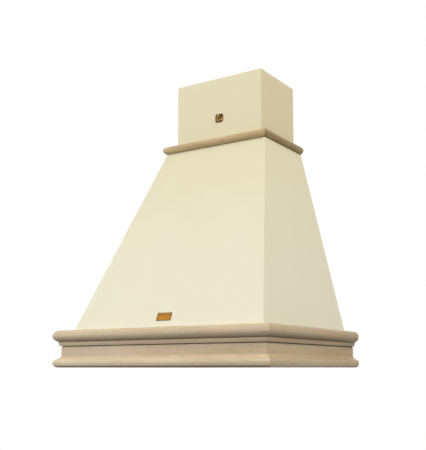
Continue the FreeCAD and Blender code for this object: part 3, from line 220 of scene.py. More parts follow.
class Recipe(Graph):
    """The node tree of one material."""

    def __init__(self, name: str) -> None:
        """Start a material that holds only its shader."""
        self.material = bpy.data.materials.new(name)
        self.material.use_nodes = True
        super().__init__(self.material.node_tree)
        self.shader = self.tree.nodes["Principled BSDF"]

    def place(self) -> tuple[Wire, Wire, Wire]:
        """Give X, Y and Z of the shaded point on the piece."""
        return self.parts(self.node("ShaderNodeTexCoord", output="Object"))

    def noise(self, vector: Wire, detail: float = 3.0, roughness: float = 0.55) -> Wire:
        """Give a cloudy value round 0.5 whose grain is one unit of the vector."""
        inputs = {"Vector": vector, "Scale": 1.0, "Detail": detail, "Roughness": roughness}
        return self.node("ShaderNodeTexNoise", inputs=inputs)

    def cloud(self, spot: Sequence[Wire], sizes: tuple[float, ...], detail: float = 3.0,
              roughness: float = 0.55) -> Wire:
        """Give a cloudy value round 0.5 whose grain has one size in metres, or three along the axes."""
        along = sizes if len(sizes) > 1 else sizes * 3
        return self.noise(self.vector(*(wire / size for wire, size in zip(spot, along))), detail, roughness)

    def cells(self, vector: Wire) -> Wire:
        """Give the colour of scattered cells one unit apart."""
        return self.node("ShaderNodeTexVoronoi", inputs={"Vector": vector, "Scale": 1.0}, output="Color")

    def blend(self, factor: Term, first: object, second: object) -> Wire:
        """Mix two colours."""
        return self.node("ShaderNodeMix", {"data_type": "RGBA"}, {0: factor, 6: first, 7: second}, 2)

    def attribute(self, name: str) -> Wire:
        """Read a value stored on the piece's points."""
        return self.node("ShaderNodeAttribute", {"attribute_name": name}, output="Fac")

    def relief(self, height: Wire, depth: float, strength: float = 1.0) -> None:
        """Let a height from 0 to 1 emboss the surface by a depth in metres."""
        inputs = {"Strength": strength, "Distance": depth, "Height": height}
        self.feed(self.shader.inputs["Normal"], self.node("ShaderNodeBump", inputs=inputs))

    def done(self, **sockets: object) -> bpy.types.Material:
        """Set the shader's sockets, named with _ for a blank, and hand the material over."""
        for name, value in sockets.items():
            self.feed(self.shader.inputs[name.replace("_", " ")], value)
        return self.material


class Run(Enum):
    """Way that a board's grain runs, as the axis along it and the two across it."""

    ALONG_X = (0, 1, 2)
    ALONG_Y = (1, 0, 2)
    ALONG_Z = (2, 0, 1)


@dataclass(frozen=True)
class Knot:
    """A small dark knot or fleck at a point of a board."""

    at: Point
    radius: float
    long: float = 2.5


@dataclass(frozen=True)
class Beech:
    """Raw sanded beech: low contrast, short flecks, faint arches and pinkish patches, darkened with painted
    shade where the values stored on the piece ask for it.

    The heart of the log is a line along the board; heart gives its two places across the run.
    """

    name: str
    run: Run
    seed: float
    heart: tuple[float, float]
    light: Colour = tint(234, 218, 189)
    dark: Colour = tint(205, 184, 150)
    pink: Colour = tint(230, 203, 175)
    line: Colour = tint(178, 152, 116)
    fleck: Colour = tint(132, 100, 66)
    # colour of the painted shade
    painted_shade: Colour = tint(56, 36, 8)
    ring: float = 3.4 * MM
    wander: float = 0.042
    slant: float = 0.0
    figure: float = 0.5
    flecks: float = 0.32
    shade_drift: float = 0.0
    relief: float = 0.12 * MM
    knots: tuple[Knot, ...] = ()

    def make(self) -> bpy.types.Material:
        """Write the board's material."""
        recipe = Recipe(self.name)
        spot = recipe.place()
        along, side, up = (spot[axis] for axis in self.run.value)
        up = up + along * self.slant

        def grain(length: float, width: float, detail: float = 3.0) -> Wire:
            """Cloud stretched along the board, of a length and width in metres."""
            return recipe.noise(recipe.vector(along / length + self.seed, side / width, up / width), detail)

        wander, sway = grain(0.45, 0.4, 1.0) - 0.5, grain(0.24, 0.3, 1.0) - 0.5
        across = side + wander * self.wander - self.heart[0]
        over = up + sway * (self.wander * 0.8) - self.heart[1]
        radius = (across * across + over * over) ** 0.5 + (grain(0.03, 0.01, 1.0) - 0.5) * 0.0012
        wave = (radius * (2 * math.pi / self.ring)).sine()
        ring = (wave * 0.5 + 0.5) ** 3.0
        broad, streak, fine = grain(0.22, 0.03), grain(0.08, 0.0024, 4.0), grain(0.018, 0.0007, 2.0)
        patch = grain(0.16, 0.05, 2.0).rise(0.46, 0.66)
        dash = grain(0.006, 0.0011, 1.0).rise(0.6, 0.74)
        # the last term darkens the board steadily towards one end, as painted shade
        tone = broad * 0.9 + streak * 0.7 + fine * 0.5 - 0.55 + along * self.shade_drift
        colour = recipe.blend(tone.rise(0.0, 1.0), self.dark, self.light)
        colour = recipe.blend(patch * 0.5, colour, self.pink)
        arches = grain(0.2, 0.06, 1.0).rise(0.25, 0.65)
        colour = recipe.blend(ring * arches * self.figure, colour, self.line)
        colour = recipe.blend(dash * self.flecks, colour, self.fleck)
        for knot in self.knots:
            places = [knot.at[axis] for axis in self.run.value]
            places[2] += places[0] * self.slant
            far = [(wire - at) / (knot.radius * stretch)
                   for wire, at, stretch in zip((along, side, up), places, (knot.long, 1.0, 1.0))]
            reach = (far[0] * far[0] + far[1] * far[1] + far[2] * far[2]) ** 0.5 + (streak - 0.5) * 0.8
            colour = recipe.blend(reach.rise(1.0, 0.35) * 0.75, colour, self.fleck)
        # painted shade: the value stored on the piece's points blends the wood towards a dark brown
        colour = recipe.blend(recipe.attribute("painted_shade") * 0.92, colour, self.painted_shade)
        recipe.relief(streak * 0.5 + fine * 0.5, self.relief, 0.5)
        rough = 0.58 + (streak - 0.5) * 0.2
        return recipe.done(Base_Color=colour, Roughness=rough, Specular_IOR_Level=0.3)


@dataclass(frozen=True)
class Lacquer:
    """Matt ivory lacquer rolled on board, warmer and darker towards the top as painted shade, and the raw
    board inside.
    """

    name: str
    foot: Colour = tint(238, 234, 212)
    head: Colour = tint(231, 222, 188)
    board: Colour = tint(190, 160, 118)
    fibre: Colour = tint(160, 128, 88)
    nib: Colour = tint(206, 196, 164)
    reach: tuple[float, float] = (0.09, 0.72)
    peel: float = 2.2 * MM
    nap: float = 9.0 * MM
    haze: float = 110.0 * MM
    chip: float = 1.2 * MM
    relief: float = 0.06 * MM

    def make(self) -> bpy.types.Material:
        """Write the lacquer's material; the piece's attribute says which side is inside."""
        recipe = Recipe(self.name)
        spot = recipe.place()
        peel, nap = recipe.cloud(spot, (self.peel,), 2.0), recipe.cloud(spot, (self.nap,))
        haze, chip = recipe.cloud(spot, (self.haze,), 2.0), recipe.cloud(spot, (self.chip,))
        # painted shade: from the foot colour to the darker head colour up the reach
        height = (spot[2] - self.reach[0]) / (self.reach[1] - self.reach[0])
        colour = recipe.blend((height + (haze - 0.5) * 0.35).rise(0.0, 1.0), self.foot, self.head)
        colour = recipe.blend((nap - 0.5) * 0.12 + 0.06, colour, self.nib)
        inside = recipe.attribute("inside").rise(0.35, 0.5)
        board = recipe.blend(chip.rise(0.35, 0.75) * 0.6, self.board, self.fibre)
        colour = recipe.blend(inside, colour, board)
        recipe.relief(peel * 0.6 + nap * 0.4, self.relief, 0.5)
        rough = inside * 0.25 + 0.52 + (nap - 0.5) * 0.18
        return recipe.done(Base_Color=colour, Roughness=rough, Specular_IOR_Level=0.35)


@dataclass(frozen=True)
class Softwood:
    """Planed softwood of the hidden rails, battens and blocks, with clear year rings."""

    name: str
    run: Run
    seed: float
    early: Colour = tint(224, 198, 154)
    late: Colour = tint(188, 146, 96)
    pale: Colour = tint(236, 212, 168)
    year: float = 4.2 * MM
    heart: tuple[float, float] = (-20 * MM, 40 * MM)
    relief: float = 0.2 * MM

    def make(self) -> bpy.types.Material:
        """Write the timber's material."""
        recipe = Recipe(self.name)
        spot = recipe.place()
        along, side, up = (spot[axis] for axis in self.run.value)
        wander = recipe.noise(recipe.vector(along / 0.3 + self.seed, side / 0.1, up / 0.1), 2.0) - 0.5
        across = side + wander * 0.03 - self.heart[0]
        over = up + wander * 0.02 - self.heart[1]
        radius = (across * across + over * over) ** 0.5
        ring = (radius * (2 * math.pi / self.year)).sine()
        ring = (ring * 0.5 + 0.5) ** 2.5
        streak = recipe.cloud((along, side, up), (50 * MM, 1.6 * MM, 1.6 * MM))
        colour = recipe.blend(ring * 0.62, self.early, self.late)
        colour = recipe.blend((streak - 0.35) * 0.5, colour, self.pale)
        recipe.relief(ring * 0.5 + streak * 0.5, self.relief, 0.5)
        return recipe.done(Base_Color=colour, Roughness=0.66 + (streak - 0.5) * 0.2)


@dataclass(frozen=True)
class Moulded:
    """Moulded plastic or sprayed enamel: one colour, a fine skin and a little dust or rubbing."""

    name: str
    colour: Colour
    roughness: float = 0.45
    skin: float = 0.7 * MM
    haze: float = 35 * MM
    relief: float = 0.05 * MM
    rubbed: float = 0.12
    pale: float = 0.18

    def make(self) -> bpy.types.Material:
        """Write the plastic's or enamel's material."""
        recipe = Recipe(self.name)
        spot = recipe.place()
        grain = recipe.cloud(spot, (self.skin,), 2.0, 0.5)
        cloud = recipe.cloud(spot, (self.haze,), 4.0)
        paler = (*(channel + (1 - channel) * self.pale for channel in self.colour[:3]), 1.0)
        colour = recipe.blend(cloud.rise(0.4, 0.75) * self.rubbed, self.colour, paler)
        colour = recipe.blend(grain.rise(0.35, 0.75) * self.rubbed, colour, paler)
        recipe.relief(grain, self.relief, 0.5)
        rough = (cloud - 0.5) * 0.22 + self.roughness
        return recipe.done(Base_Color=colour, Roughness=rough)


@dataclass(frozen=True)
class Metal:
    """Brushed or drawn metal with fine lines along one axis and slightly uneven shine."""

    name: str
    colour: Colour
    run: Run = Run.ALONG_X
    roughness: float = 0.34
    lines: float = 0.35 * MM
    stroke: float = 30 * MM
    haze: tuple[float, float, float] = (60 * MM, 50 * MM, 50 * MM)
    spangle: float = 0.0
    metallic: float = 1.0

    def make(self) -> bpy.types.Material:
        """Write the metal's material; a spangle above 0 is the width of zinc flowers."""
        recipe = Recipe(self.name)
        spot = recipe.place()
        line = tuple(spot[axis] for axis in self.run.value)
        brush = recipe.cloud(line, (self.stroke, self.lines, self.lines), 2.0)
        cloud = recipe.cloud(line, self.haze)
        colour = recipe.blend(cloud.rise(0.3, 0.8) * 0.5, self.colour, dimmed(self.colour, 0.74))
        rough = (brush - 0.5) * 0.18 + (cloud - 0.5) * 0.2 + self.roughness
        if self.spangle:
            flower = recipe.cells(recipe.vector(*(wire / self.spangle for wire in line)))
            shine = recipe.node("ShaderNodeSeparateColor", inputs={0: flower})
            colour = recipe.blend(shine * 0.4, colour, dimmed(self.colour, 0.62))
            rough = rough + (shine - 0.5) * 0.2
            recipe.relief(shine, 0.03 * MM, 0.4)
        else:
            recipe.relief(brush, 0.02 * MM, 0.4)
        return recipe.done(Base_Color=colour, Roughness=rough, Metallic=self.metallic)


@dataclass(frozen=True)
class Patina:
    """Cast or rolled yellow metal: bright where it is rubbed, dark brown where it lies deep."""

    name: str
    bright: Colour
    dark: Colour
    share: float
    grain: float = 1.6 * MM
    stain: float = 6.0 * MM
    roughness: float = 0.38
    spread: float = 0.17
    relief: float = 0.05 * MM

    def make(self) -> bpy.types.Material:
        """Write the metal's material; share is how much of it is dark."""
        recipe = Recipe(self.name)
        spot = recipe.place()
        cloud, pit = recipe.cloud(spot, (self.stain,)), recipe.cloud(spot, (self.grain,), 2.0)
        deep = recipe.attribute("deep")
        worn = cloud * 0.5 + pit * 0.5 + deep * 0.45 - 0.5 + (self.share - 0.5) * 0.4
        worn = worn.rise(0.05 - self.spread, 0.05 + self.spread)
        colour = recipe.blend(worn, self.bright, self.dark)
        recipe.relief(pit, self.relief, 0.6)
        rough = worn * 0.25 + self.roughness
        return recipe.done(Base_Color=colour, Roughness=rough, Metallic=1.0 - worn * 0.45)


@dataclass(frozen=True)
class FrostedGlass:
    """Lightly frosted lamp glass."""

    name: str
    clear: Colour = tint(247, 247, 241)
    milky: Colour = tint(226, 228, 222)
    frost: float = 1.1 * MM
    relief: float = 0.05 * MM
    passing: float = 0.4
    index: float = 1.46

    def make(self) -> bpy.types.Material:
        """Write the glass's material."""
        recipe = Recipe(self.name)
        frost = recipe.cloud(recipe.place(), (self.frost,), 2.0)
        colour = recipe.blend(frost * 0.25, self.clear, self.milky)
        recipe.relief(frost, self.relief, 0.5)
        rough = 0.3 + (frost - 0.5) * 0.2
        return recipe.done(Base_Color=colour, Roughness=rough, Transmission_Weight=self.passing,
                           IOR=self.index)


Finish = Union[Beech, Lacquer, Softwood, Moulded, Metal, Patina, FrostedGlass]


# ---------------------------------------------------------------- patterns that repeat
class Kind(Enum):
    """Kinds of named input that a pattern takes."""

    LENGTH = "NodeSocketFloat"
    COUNT = "NodeSocketInt"
    PLACE = "NodeSocketVector"
    SHAPE = "NodeSocketObject"
    FINISH = "NodeSocketMaterial"


class Pattern(Graph):
    """A Geometry Nodes tree with named inputs, which ends as real mesh with its own material."""

    def __init__(self, name: str, **inputs: Kind) -> None:
        """Open the tree's sockets.

        Args:
            name: of the tree.
            inputs: its named inputs, besides the geometry that it adds to and its finish.
        """
        super().__init__(bpy.data.node_groups.new(name, "GeometryNodeTree"))
        face = self.tree.interface
        face.new_socket("Geometry", in_out="INPUT", socket_type="NodeSocketGeometry")
        face.new_socket("Geometry", in_out="OUTPUT", socket_type="NodeSocketGeometry")
        for key, kind in {**inputs, "finish": Kind.FINISH}.items():
            face.new_socket(key, in_out="INPUT", socket_type=kind.value)
        self.entry = self.tree.nodes.new("NodeGroupInput")

    def given(self, name: str) -> Wire:
        """Give one of the tree's own inputs."""
        return Wire(self, self.entry.outputs[name])

    def shape(self, name: str) -> Wire:
        """Give the shape of an object that is one of the tree's own inputs."""
        settings = {"transform_space": "ORIGINAL"}
        return self.node("GeometryNodeObjectInfo", settings, {"Object": self.given(name)}, "Geometry")

    def line(self, count: Wire, start: Wire, step: object) -> Wire:
        """Give a row of points."""
        inputs = {"Count": count, "Start Location": start, "Offset": step}
        return self.node("GeometryNodeMeshLine", {"mode": "OFFSET"}, inputs)

    def repeat(self, points: Wire, shape: Wire, **more: Wire) -> Wire:
        """Set a shape on each point."""
        inputs = {"Points": points, "Instance": shape, **more}
        return self.node("GeometryNodeInstanceOnPoints", inputs=inputs)

    def close(self, instances: Wire, keep: bool = True) -> "Pattern":
        """End the tree: make the instances real, finish them and add them to what came in.

        Args:
            instances: what the tree repeats.
            keep: False leaves out the geometry that came in, such as mere points.

        Returns:
            The tree.
        """
        real = self.node("GeometryNodeRealizeInstances", inputs={0: instances})
        inputs = {"Geometry": real, "Material": self.given("finish")}
        done = self.node("GeometryNodeSetMaterial", inputs=inputs)
        if keep:
            done = self.node("GeometryNodeJoinGeometry", inputs={0: [done, self.given("Geometry")]})
        self.tree.links.new(done.socket, self.tree.nodes.new("NodeGroupOutput").inputs[0])
        return self

    def lay(self, made: bpy.types.Object, finish: bpy.types.Material, **values: object) -> None:
        """Add the tree to a piece with values for its inputs."""
        modifier = made.modifiers.new(self.tree.name, "NODES")
        modifier.node_group = self.tree
        for item in self.tree.interface.items_tree:
            if item.in_out == "INPUT" and item.name != "Geometry":
                modifier[item.identifier] = finish if item.name == "finish" else values[item.name]


def diamond_sheet() -> Pattern:
    """Sheet of stretched metal: diamonds that touch, left out where a block stands in the way."""
    made = Pattern("diamond_sheet", width=Kind.LENGTH, depth=Kind.LENGTH, columns=Kind.COUNT,
                   rows=Kind.COUNT, strand=Kind.LENGTH, sheet=Kind.LENGTH, centre=Kind.PLACE,
                   block=Kind.PLACE, room=Kind.PLACE)
    width, depth, columns, rows = (made.given(name) for name in ("width", "depth", "columns", "rows"))
    cell_x, cell_y = width / columns, depth / rows
    sizes = {"Size X": width - cell_x, "Size Y": depth - cell_y, "Vertices X": columns, "Vertices Y": rows}
    grid = made.node("GeometryNodeMeshGrid", inputs=sizes)
    grid = made.node("GeometryNodeTransform", inputs={"Geometry": grid, "Translation": made.given("centre")})
    place = made.node("GeometryNodeInputPosition")
    off = made.node("ShaderNodeVectorMath", {"operation": "SUBTRACT"}, {0: place, 1: made.given("block")})
    x, y, _ = made.parts(made.node("ShaderNodeVectorMath", {"operation": "ABSOLUTE"}, {0: off}))
    room_x, room_y, _ = made.parts(made.given("room"))
    inputs = {"Geometry": grid, "Selection": x.below(room_x) * y.below(room_y)}
    grid = made.node("GeometryNodeDeleteGeometry", {"domain": "POINT"}, inputs)
    half = cell_y * 0.5
    diamond = made.node("GeometryNodeCurvePrimitiveQuadrilateral", {"mode": "KITE"},
                        {"Width": cell_x, "Bottom Height": half, "Top Height": half})
    section = made.node("GeometryNodeCurvePrimitiveQuadrilateral", {"mode": "RECTANGLE"},
                        {"Width": made.given("strand"), "Height": made.given("sheet")})
    ring = made.node("GeometryNodeCurveToMesh", inputs={"Curve": diamond, "Profile Curve": section})
    return made.close(made.repeat(grid, ring))


def fastener_set() -> Pattern:
    """One fastener on each point of the piece, its head the way that the point's own arrow shows."""
    made = Pattern("fastener_set", head=Kind.SHAPE)
    way = made.node("GeometryNodeInputNamedAttribute", {"data_type": "FLOAT_VECTOR"}, {"Name": "way"})
    turn = made.node("FunctionNodeAlignRotationToVector", {"axis": "Z"}, {"Vector": way})
    heads = made.repeat(made.given("Geometry"), made.shape("head"), Rotation=turn)
    return made.close(heads, keep=False)


def spoke_ring() -> Pattern:
    """One shape repeated evenly about an axle that runs along X through a centre."""
    made = Pattern("spoke_ring", shape=Kind.SHAPE, count=Kind.COUNT, centre=Kind.PLACE)
    count = made.given("count")
    points = made.line(count, made.given("centre"), (0.0, 0.0, 0.0))
    step = made.node("GeometryNodeInputIndex") * (2 * math.pi) / count
    turn = made.node("FunctionNodeEulerToRotation", inputs={0: made.vector(step, 0.0, 0.0)})
    return made.close(made.repeat(points, made.shape("shape"), Rotation=turn))


def rib_row() -> Pattern:
    """Straight row of one shape, evenly spaced from a start by a step."""
    made = Pattern("rib_row", shape=Kind.SHAPE, count=Kind.COUNT, start=Kind.PLACE, step=Kind.PLACE)
    count, start, step = (made.given(name) for name in ("count", "start", "step"))
    return made.close(made.repeat(made.line(count, start, step), made.shape("shape")))


# ---------------------------------------------------------------- meshes
def object_of(name: str, work: bmesh.types.BMesh) -> bpy.types.Object:
    """Put a finished bmesh on a new object at the origin."""
    mesh = bpy.data.meshes.new(name)
    work.to_mesh(mesh)
    work.free()
    made = bpy.data.objects.new(name, mesh)
    bpy.context.scene.collection.objects.link(made)
    return made


def started(name: str, places: Sequence[Point] = ()) -> bpy.types.Object:
    """Start a piece of loose points, or of nothing, for a pattern to add to."""
    mesh = bpy.data.meshes.new(name)
    mesh.from_pydata(list(places), [], [])
    made = bpy.data.objects.new(name, mesh)
    bpy.context.scene.collection.objects.link(made)
    return made


def loft(work: bmesh.types.BMesh, loops: Sequence[Sequence[Point]], closed: bool = False) -> list:
    """Skin a row of closed loops that have the same number of points.

    Args:
        work: the mesh that is added to.
        loops: the sections in order.
        closed: True joins the last section to the first; otherwise both ends are capped.

    Returns:
        The points, one list for each section.
    """
    rows = [[work.verts.new(point) for point in loop] for loop in loops]
    count = len(rows[0])
    pairs = list(zip(rows, rows[1:])) + ([(rows[-1], rows[0])] if closed else [])
    for first, second in pairs:
        for i in range(count):
            j = (i + 1) % count
            work.faces.new((first[i], first[j], second[j], second[i]))
    if not closed:
        work.faces.new(rows[0][::-1])
        work.faces.new(rows[-1])
    return rows


def outward(work: bmesh.types.BMesh) -> None:
    """Turn every face outwards."""
    bmesh.ops.recalc_face_normals(work, faces=work.faces)


def plain(made: bpy.types.Object) -> bpy.types.Object:
    """Replace a piece's modifiers by the mesh that they give."""
    bpy.context.view_layer.update()
    graph = bpy.context.evaluated_depsgraph_get()
    mesh = bpy.data.meshes.new_from_object(made.evaluated_get(graph))
    made.modifiers.clear()
    made.data = mesh
    return made


def eased(made: bpy.types.Object, width: float, segments: int = 2, angle: float = 35.0) -> bpy.types.Object:
    """Round a piece's sharp edges and shade it smoothly between them.

    Args:
        made: the piece.
        width: of the rounding, in metres.
        segments: of the rounding.
        angle: in degrees, from which an edge counts as sharp.

    Returns:
        The piece, with a plain mesh.
    """
    if width:
        bevel = made.modifiers.new("ease", "BEVEL")
        bevel.width, bevel.segments = width, segments
        bevel.limit_method, bevel.angle_limit = "ANGLE", math.radians(angle)
    plain(made)
    for polygon in made.data.polygons:
        polygon.use_smooth = True
    beyond_rounding = math.radians(angle + 6)
    made.data.set_sharp_from_angle(angle=beyond_rounding)
    weights = made.modifiers.new("weights", "WEIGHTED_NORMAL")
    weights.keep_sharp = True
    return plain(made)


def copied(node: str) -> bpy.types.Object:
    """Make an editable copy of a model node, its loose triangles merged into whole faces."""
    work = bmesh.new()
    work.from_mesh(frame["nodes"][node].data)
    bmesh.ops.remove_doubles(work, verts=work.verts, dist=NEAR)
    bmesh.ops.dissolve_limit(work, angle_limit=math.radians(0.6), verts=work.verts, edges=work.edges)
    return object_of(node + "_eased", work)


def settle(made: bpy.types.Object, finish: Optional[bpy.types.Material], slot: str, *nodes: str,
           body: str = "") -> None:
    """Give a finished piece its material, its body and the nodes that it stands for.

    Args:
        made: the piece, at the origin.
        finish: its material; None keeps the materials that its patterns gave it.
        slot: the record's material slot; not used.
        nodes: the model nodes that it replaces.
        body: the body that it rides on, if no node says so.
    """
    if finish:
        made.data.materials.clear()
        made.data.materials.append(finish)
    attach(made, body or frame["nodes"][nodes[0]]["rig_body"])
    if nodes:
        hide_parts(*nodes)
    LOG.info("%s: %d faces", made.name, len(made.data.polygons))


def arc(centre: tuple[float, float], radius: float, start: float, end: float, steps: int) -> list:
    """Points of an arc, its angles in degrees from the first axis, ends included."""
    angles = [math.radians(start + (end - start) * i / steps) for i in range(steps + 1)]
    return [(centre[0] + radius * math.cos(a), centre[1] + radius * math.sin(a)) for a in angles]


def scaled(scale: float, *outline: tuple[float, float]) -> list[tuple[float, float]]:
    """Scale the points of an outline."""
    return [(x * scale, y * scale) for x, y in outline]


def turned(name: str, outline: Sequence[tuple[float, float]], sides: int = 24,
           closed: bool = True) -> bpy.types.Object:
    """Turn an outline of (radius, height) points about Z, as on a lathe.

    Args:
        name: of the piece.
        outline: from the axis out and back to it, or a closed ring's section.
        sides: of the turned piece.
        closed: False where the outline starts and ends on the axis.

    Returns:
        The piece.
    """
    work = bmesh.new()
    rows = []
    for i in range(sides):
        angle = 2 * math.pi * i / sides
        rows.append([work.verts.new((radius * math.cos(angle), radius * math.sin(angle), level))
                     for radius, level in outline])
    count = len(outline)
    for first, second in zip(rows, rows[1:] + rows[:1]):
        for i in range(count if closed else count - 1):
            j = (i + 1) % count
            work.faces.new((first[i], first[j], second[j], second[i]))
    bmesh.ops.remove_doubles(work, verts=work.verts, dist=NEAR / 10)
    bmesh.ops.dissolve_degenerate(work, edges=work.edges, dist=NEAR / 10)
    outward(work)
    return object_of(name, work)


def bar(name: str, low: Point, high: Point) -> bpy.types.Object:
    """Rectangular bar between two corners, to be eased or repeated."""
    work = bmesh.new()
    x0, y0, z0 = low
    x1, y1, z1 = high
    loft(work, [[(x0, y0, z), (x1, y0, z), (x1, y1, z), (x0, y1, z)] for z in (z0, z1)])
    outward(work)
    return object_of(name, work)


def merged(name: str, parts: Sequence[bpy.types.Object]) -> bpy.types.Object:
    """Join pieces into one new piece and remove them."""
    work = bmesh.new()
    for part in parts:
        work.from_mesh(part.data)
        bpy.data.objects.remove(part)
    return object_of(name, work)


def shifted(made: bpy.types.Object, place: Callable[[Vector], Sequence[float]]) -> bpy.types.Object:
    """Move every point of a piece by a rule."""
    for point in made.data.vertices:
        point.co = place(point.co.copy())
    return made


def grown(made: bpy.types.Object, *helpers: bpy.types.Object) -> bpy.types.Object:
    """Turn a piece's patterns into plain mesh that points outwards, and remove the shapes they repeated."""
    plain(made)
    work = bmesh.new()
    work.from_mesh(made.data)
    outward(work)
    work.to_mesh(made.data)
    work.free()
    for helper in helpers:
        bpy.data.objects.remove(helper)
    return made


def smooth(made: bpy.types.Object, angle: float = 35.0) -> bpy.types.Object:
    """Shade a piece smoothly except over sharp edges."""
    return eased(made, 0.0, angle=angle)


# ---------------------------------------------------------------- the studio
@dataclass(frozen=True)
class Lamp:
    """Square soft lamp that faces the hood, its power in watts."""

    name: str
    at: Point
    size: float
    power: float
    colour: tuple[float, float, float] = (1.0, 1.0, 1.0)


@dataclass
class Studio:
    """Pale floor under the hanging hood, soft lamps, a white world and the camera."""

    floor_drop: float = 2.6
    floor_size: float = 18.0
    eye: Point = (1.03794, -1.78642, -0.00298)
    turn: float = 33.199
    tilt: float = 8.031
    focal_pixels: float = 763.83
    image_rows: int = 450
    rows_below_middle: float = 36.0
    sensor: float = 36.0
    clip: tuple[float, float] = (0.05, 60.0)
    sky: float = 0.42
    ground: float = 0.23
    horizon: tuple[float, float] = (-0.5, 0.6)
    aim: Point = (0.0, -0.2, 0.35)
    glow: Colour = tint(168, 168, 166)
    lamps: tuple[Lamp, ...] = (
        Lamp("key", (-1.1, -2.3, 1.6), 1.4, 29.5, (1.0, 0.995, 0.99)),
        Lamp("side", (2.25, -1.1, 2.3), 1.4, 52.0, (1.0, 0.955, 0.84)),
        Lamp("back", (-0.9, 2.6, 1.5), 1.6, 30.0),
        Lamp("below", (-0.2, 1.1, -1.2), 1.2, 14.0),
    )

    def build(self) -> None:
        """Make the studio."""
        self.camera()
        self.world()
        self.floor()
        for lamp in self.lamps:
            self.hang(lamp)
        bpy.context.scene.view_settings.view_transform = "Standard"

    def camera(self) -> None:
        """Stand the camera where the photograph was taken, tilted up a little."""
        data = bpy.data.cameras.new("camera")
        data.sensor_width = self.sensor
        data.lens = self.focal_pixels / self.image_rows * self.sensor
        data.shift_y = self.rows_below_middle / self.image_rows
        data.clip_start, data.clip_end = self.clip
        camera = bpy.data.objects.new("camera", data)
        bpy.context.scene.collection.objects.link(camera)
        yaw, pitch = math.radians(self.turn), math.radians(self.tilt)
        ahead = Vector((-math.sin(yaw) * math.cos(pitch), math.cos(yaw) * math.cos(pitch), math.sin(pitch)))
        camera.location = self.eye
        camera.rotation_mode = "QUATERNION"
        camera.rotation_quaternion = ahead.to_track_quat("-Z", "Y")
        bpy.context.scene.camera = camera

    def world(self) -> None:
        """Light softly, more from above, and show white to the camera and in mirrors and glass."""
        world = bpy.data.worlds.new("studio")
        bpy.context.scene.world = world
        world.use_nodes = True
        nodes, links = world.node_tree.nodes, world.node_tree.links
        nodes.clear()

        def add(kind: str, operation: str = "", *inputs: object) -> bpy.types.Node:
            """Add a node with its operation and the values or sockets of its inputs."""
            made = nodes.new(kind)
            if operation:
                made.operation = operation
            for socket, value in zip(made.inputs, inputs):
                if isinstance(value, bpy.types.NodeSocket):
                    links.new(value, socket)
                else:
                    socket.default_value = value
            return made

        path = add("ShaderNodeLightPath").outputs
        seen = add("ShaderNodeMath", "MAXIMUM", path["Is Camera Ray"], path["Is Transmission Ray"])
        seen = add("ShaderNodeMath", "MAXIMUM", seen.outputs[0], path["Is Glossy Ray"])
        way = add("ShaderNodeSeparateXYZ", "", add("ShaderNodeTexCoord").outputs["Generated"])
        share = add("ShaderNodeMapRange", "", way.outputs["Z"], *self.horizon, self.ground, self.sky)
        white = (1.0, 1.0, 1.0, 1.0)
        dim = add("ShaderNodeBackground", "", white, share.outputs[0])
        full = add("ShaderNodeBackground", "", white, 1.0)
        mix = add("ShaderNodeMixShader", "", seen.outputs[0], dim.outputs[0], full.outputs[0])
        add("ShaderNodeOutputWorld", "", mix.outputs[0])

    def floor(self) -> None:
        """Lay the floor far below the hanging hood."""
        half = self.floor_size / 2
        work = bmesh.new()
        corners = [(-half, -half), (half, -half), (half, half), (-half, half)]
        work.faces.new([work.verts.new((x, y + self.aim[1], -self.floor_drop)) for x, y in corners])
        floor = object_of("floor", work)
        recipe = Recipe("pale_floor")
        x, y, _ = recipe.place()
        cloud = recipe.noise(recipe.vector(x / 0.5, y / 0.5, 0.0))
        colour = recipe.blend(cloud * 0.2, tint(240, 240, 238), tint(228, 228, 226))
        rays = ("Camera", "Glossy", "Transmission")
        camera, glossy, through = (recipe.node("ShaderNodeLightPath", output=f"Is {ray} Ray") for ray in rays)
        glow = recipe.blend(camera.greater(glossy.greater(through)), tint(0, 0, 0), self.glow)
        floor.data.materials.append(recipe.done(Base_Color=colour, Roughness=0.75, Emission_Color=glow,
                                                Emission_Strength=1.0))

    def hang(self, lamp: Lamp) -> None:
        """Hang a lamp."""
        data = bpy.data.lights.new(lamp.name, "AREA")
        data.size, data.energy, data.color = lamp.size, lamp.power, lamp.colour
        made = bpy.data.objects.new(lamp.name, data)
        bpy.context.scene.collection.objects.link(made)
        made.location = lamp.at
        aim = Vector(self.aim) - Vector(lamp.at)
        made.rotation_mode = "QUATERNION"
        made.rotation_quaternion = aim.to_track_quat("-Z", "Y")


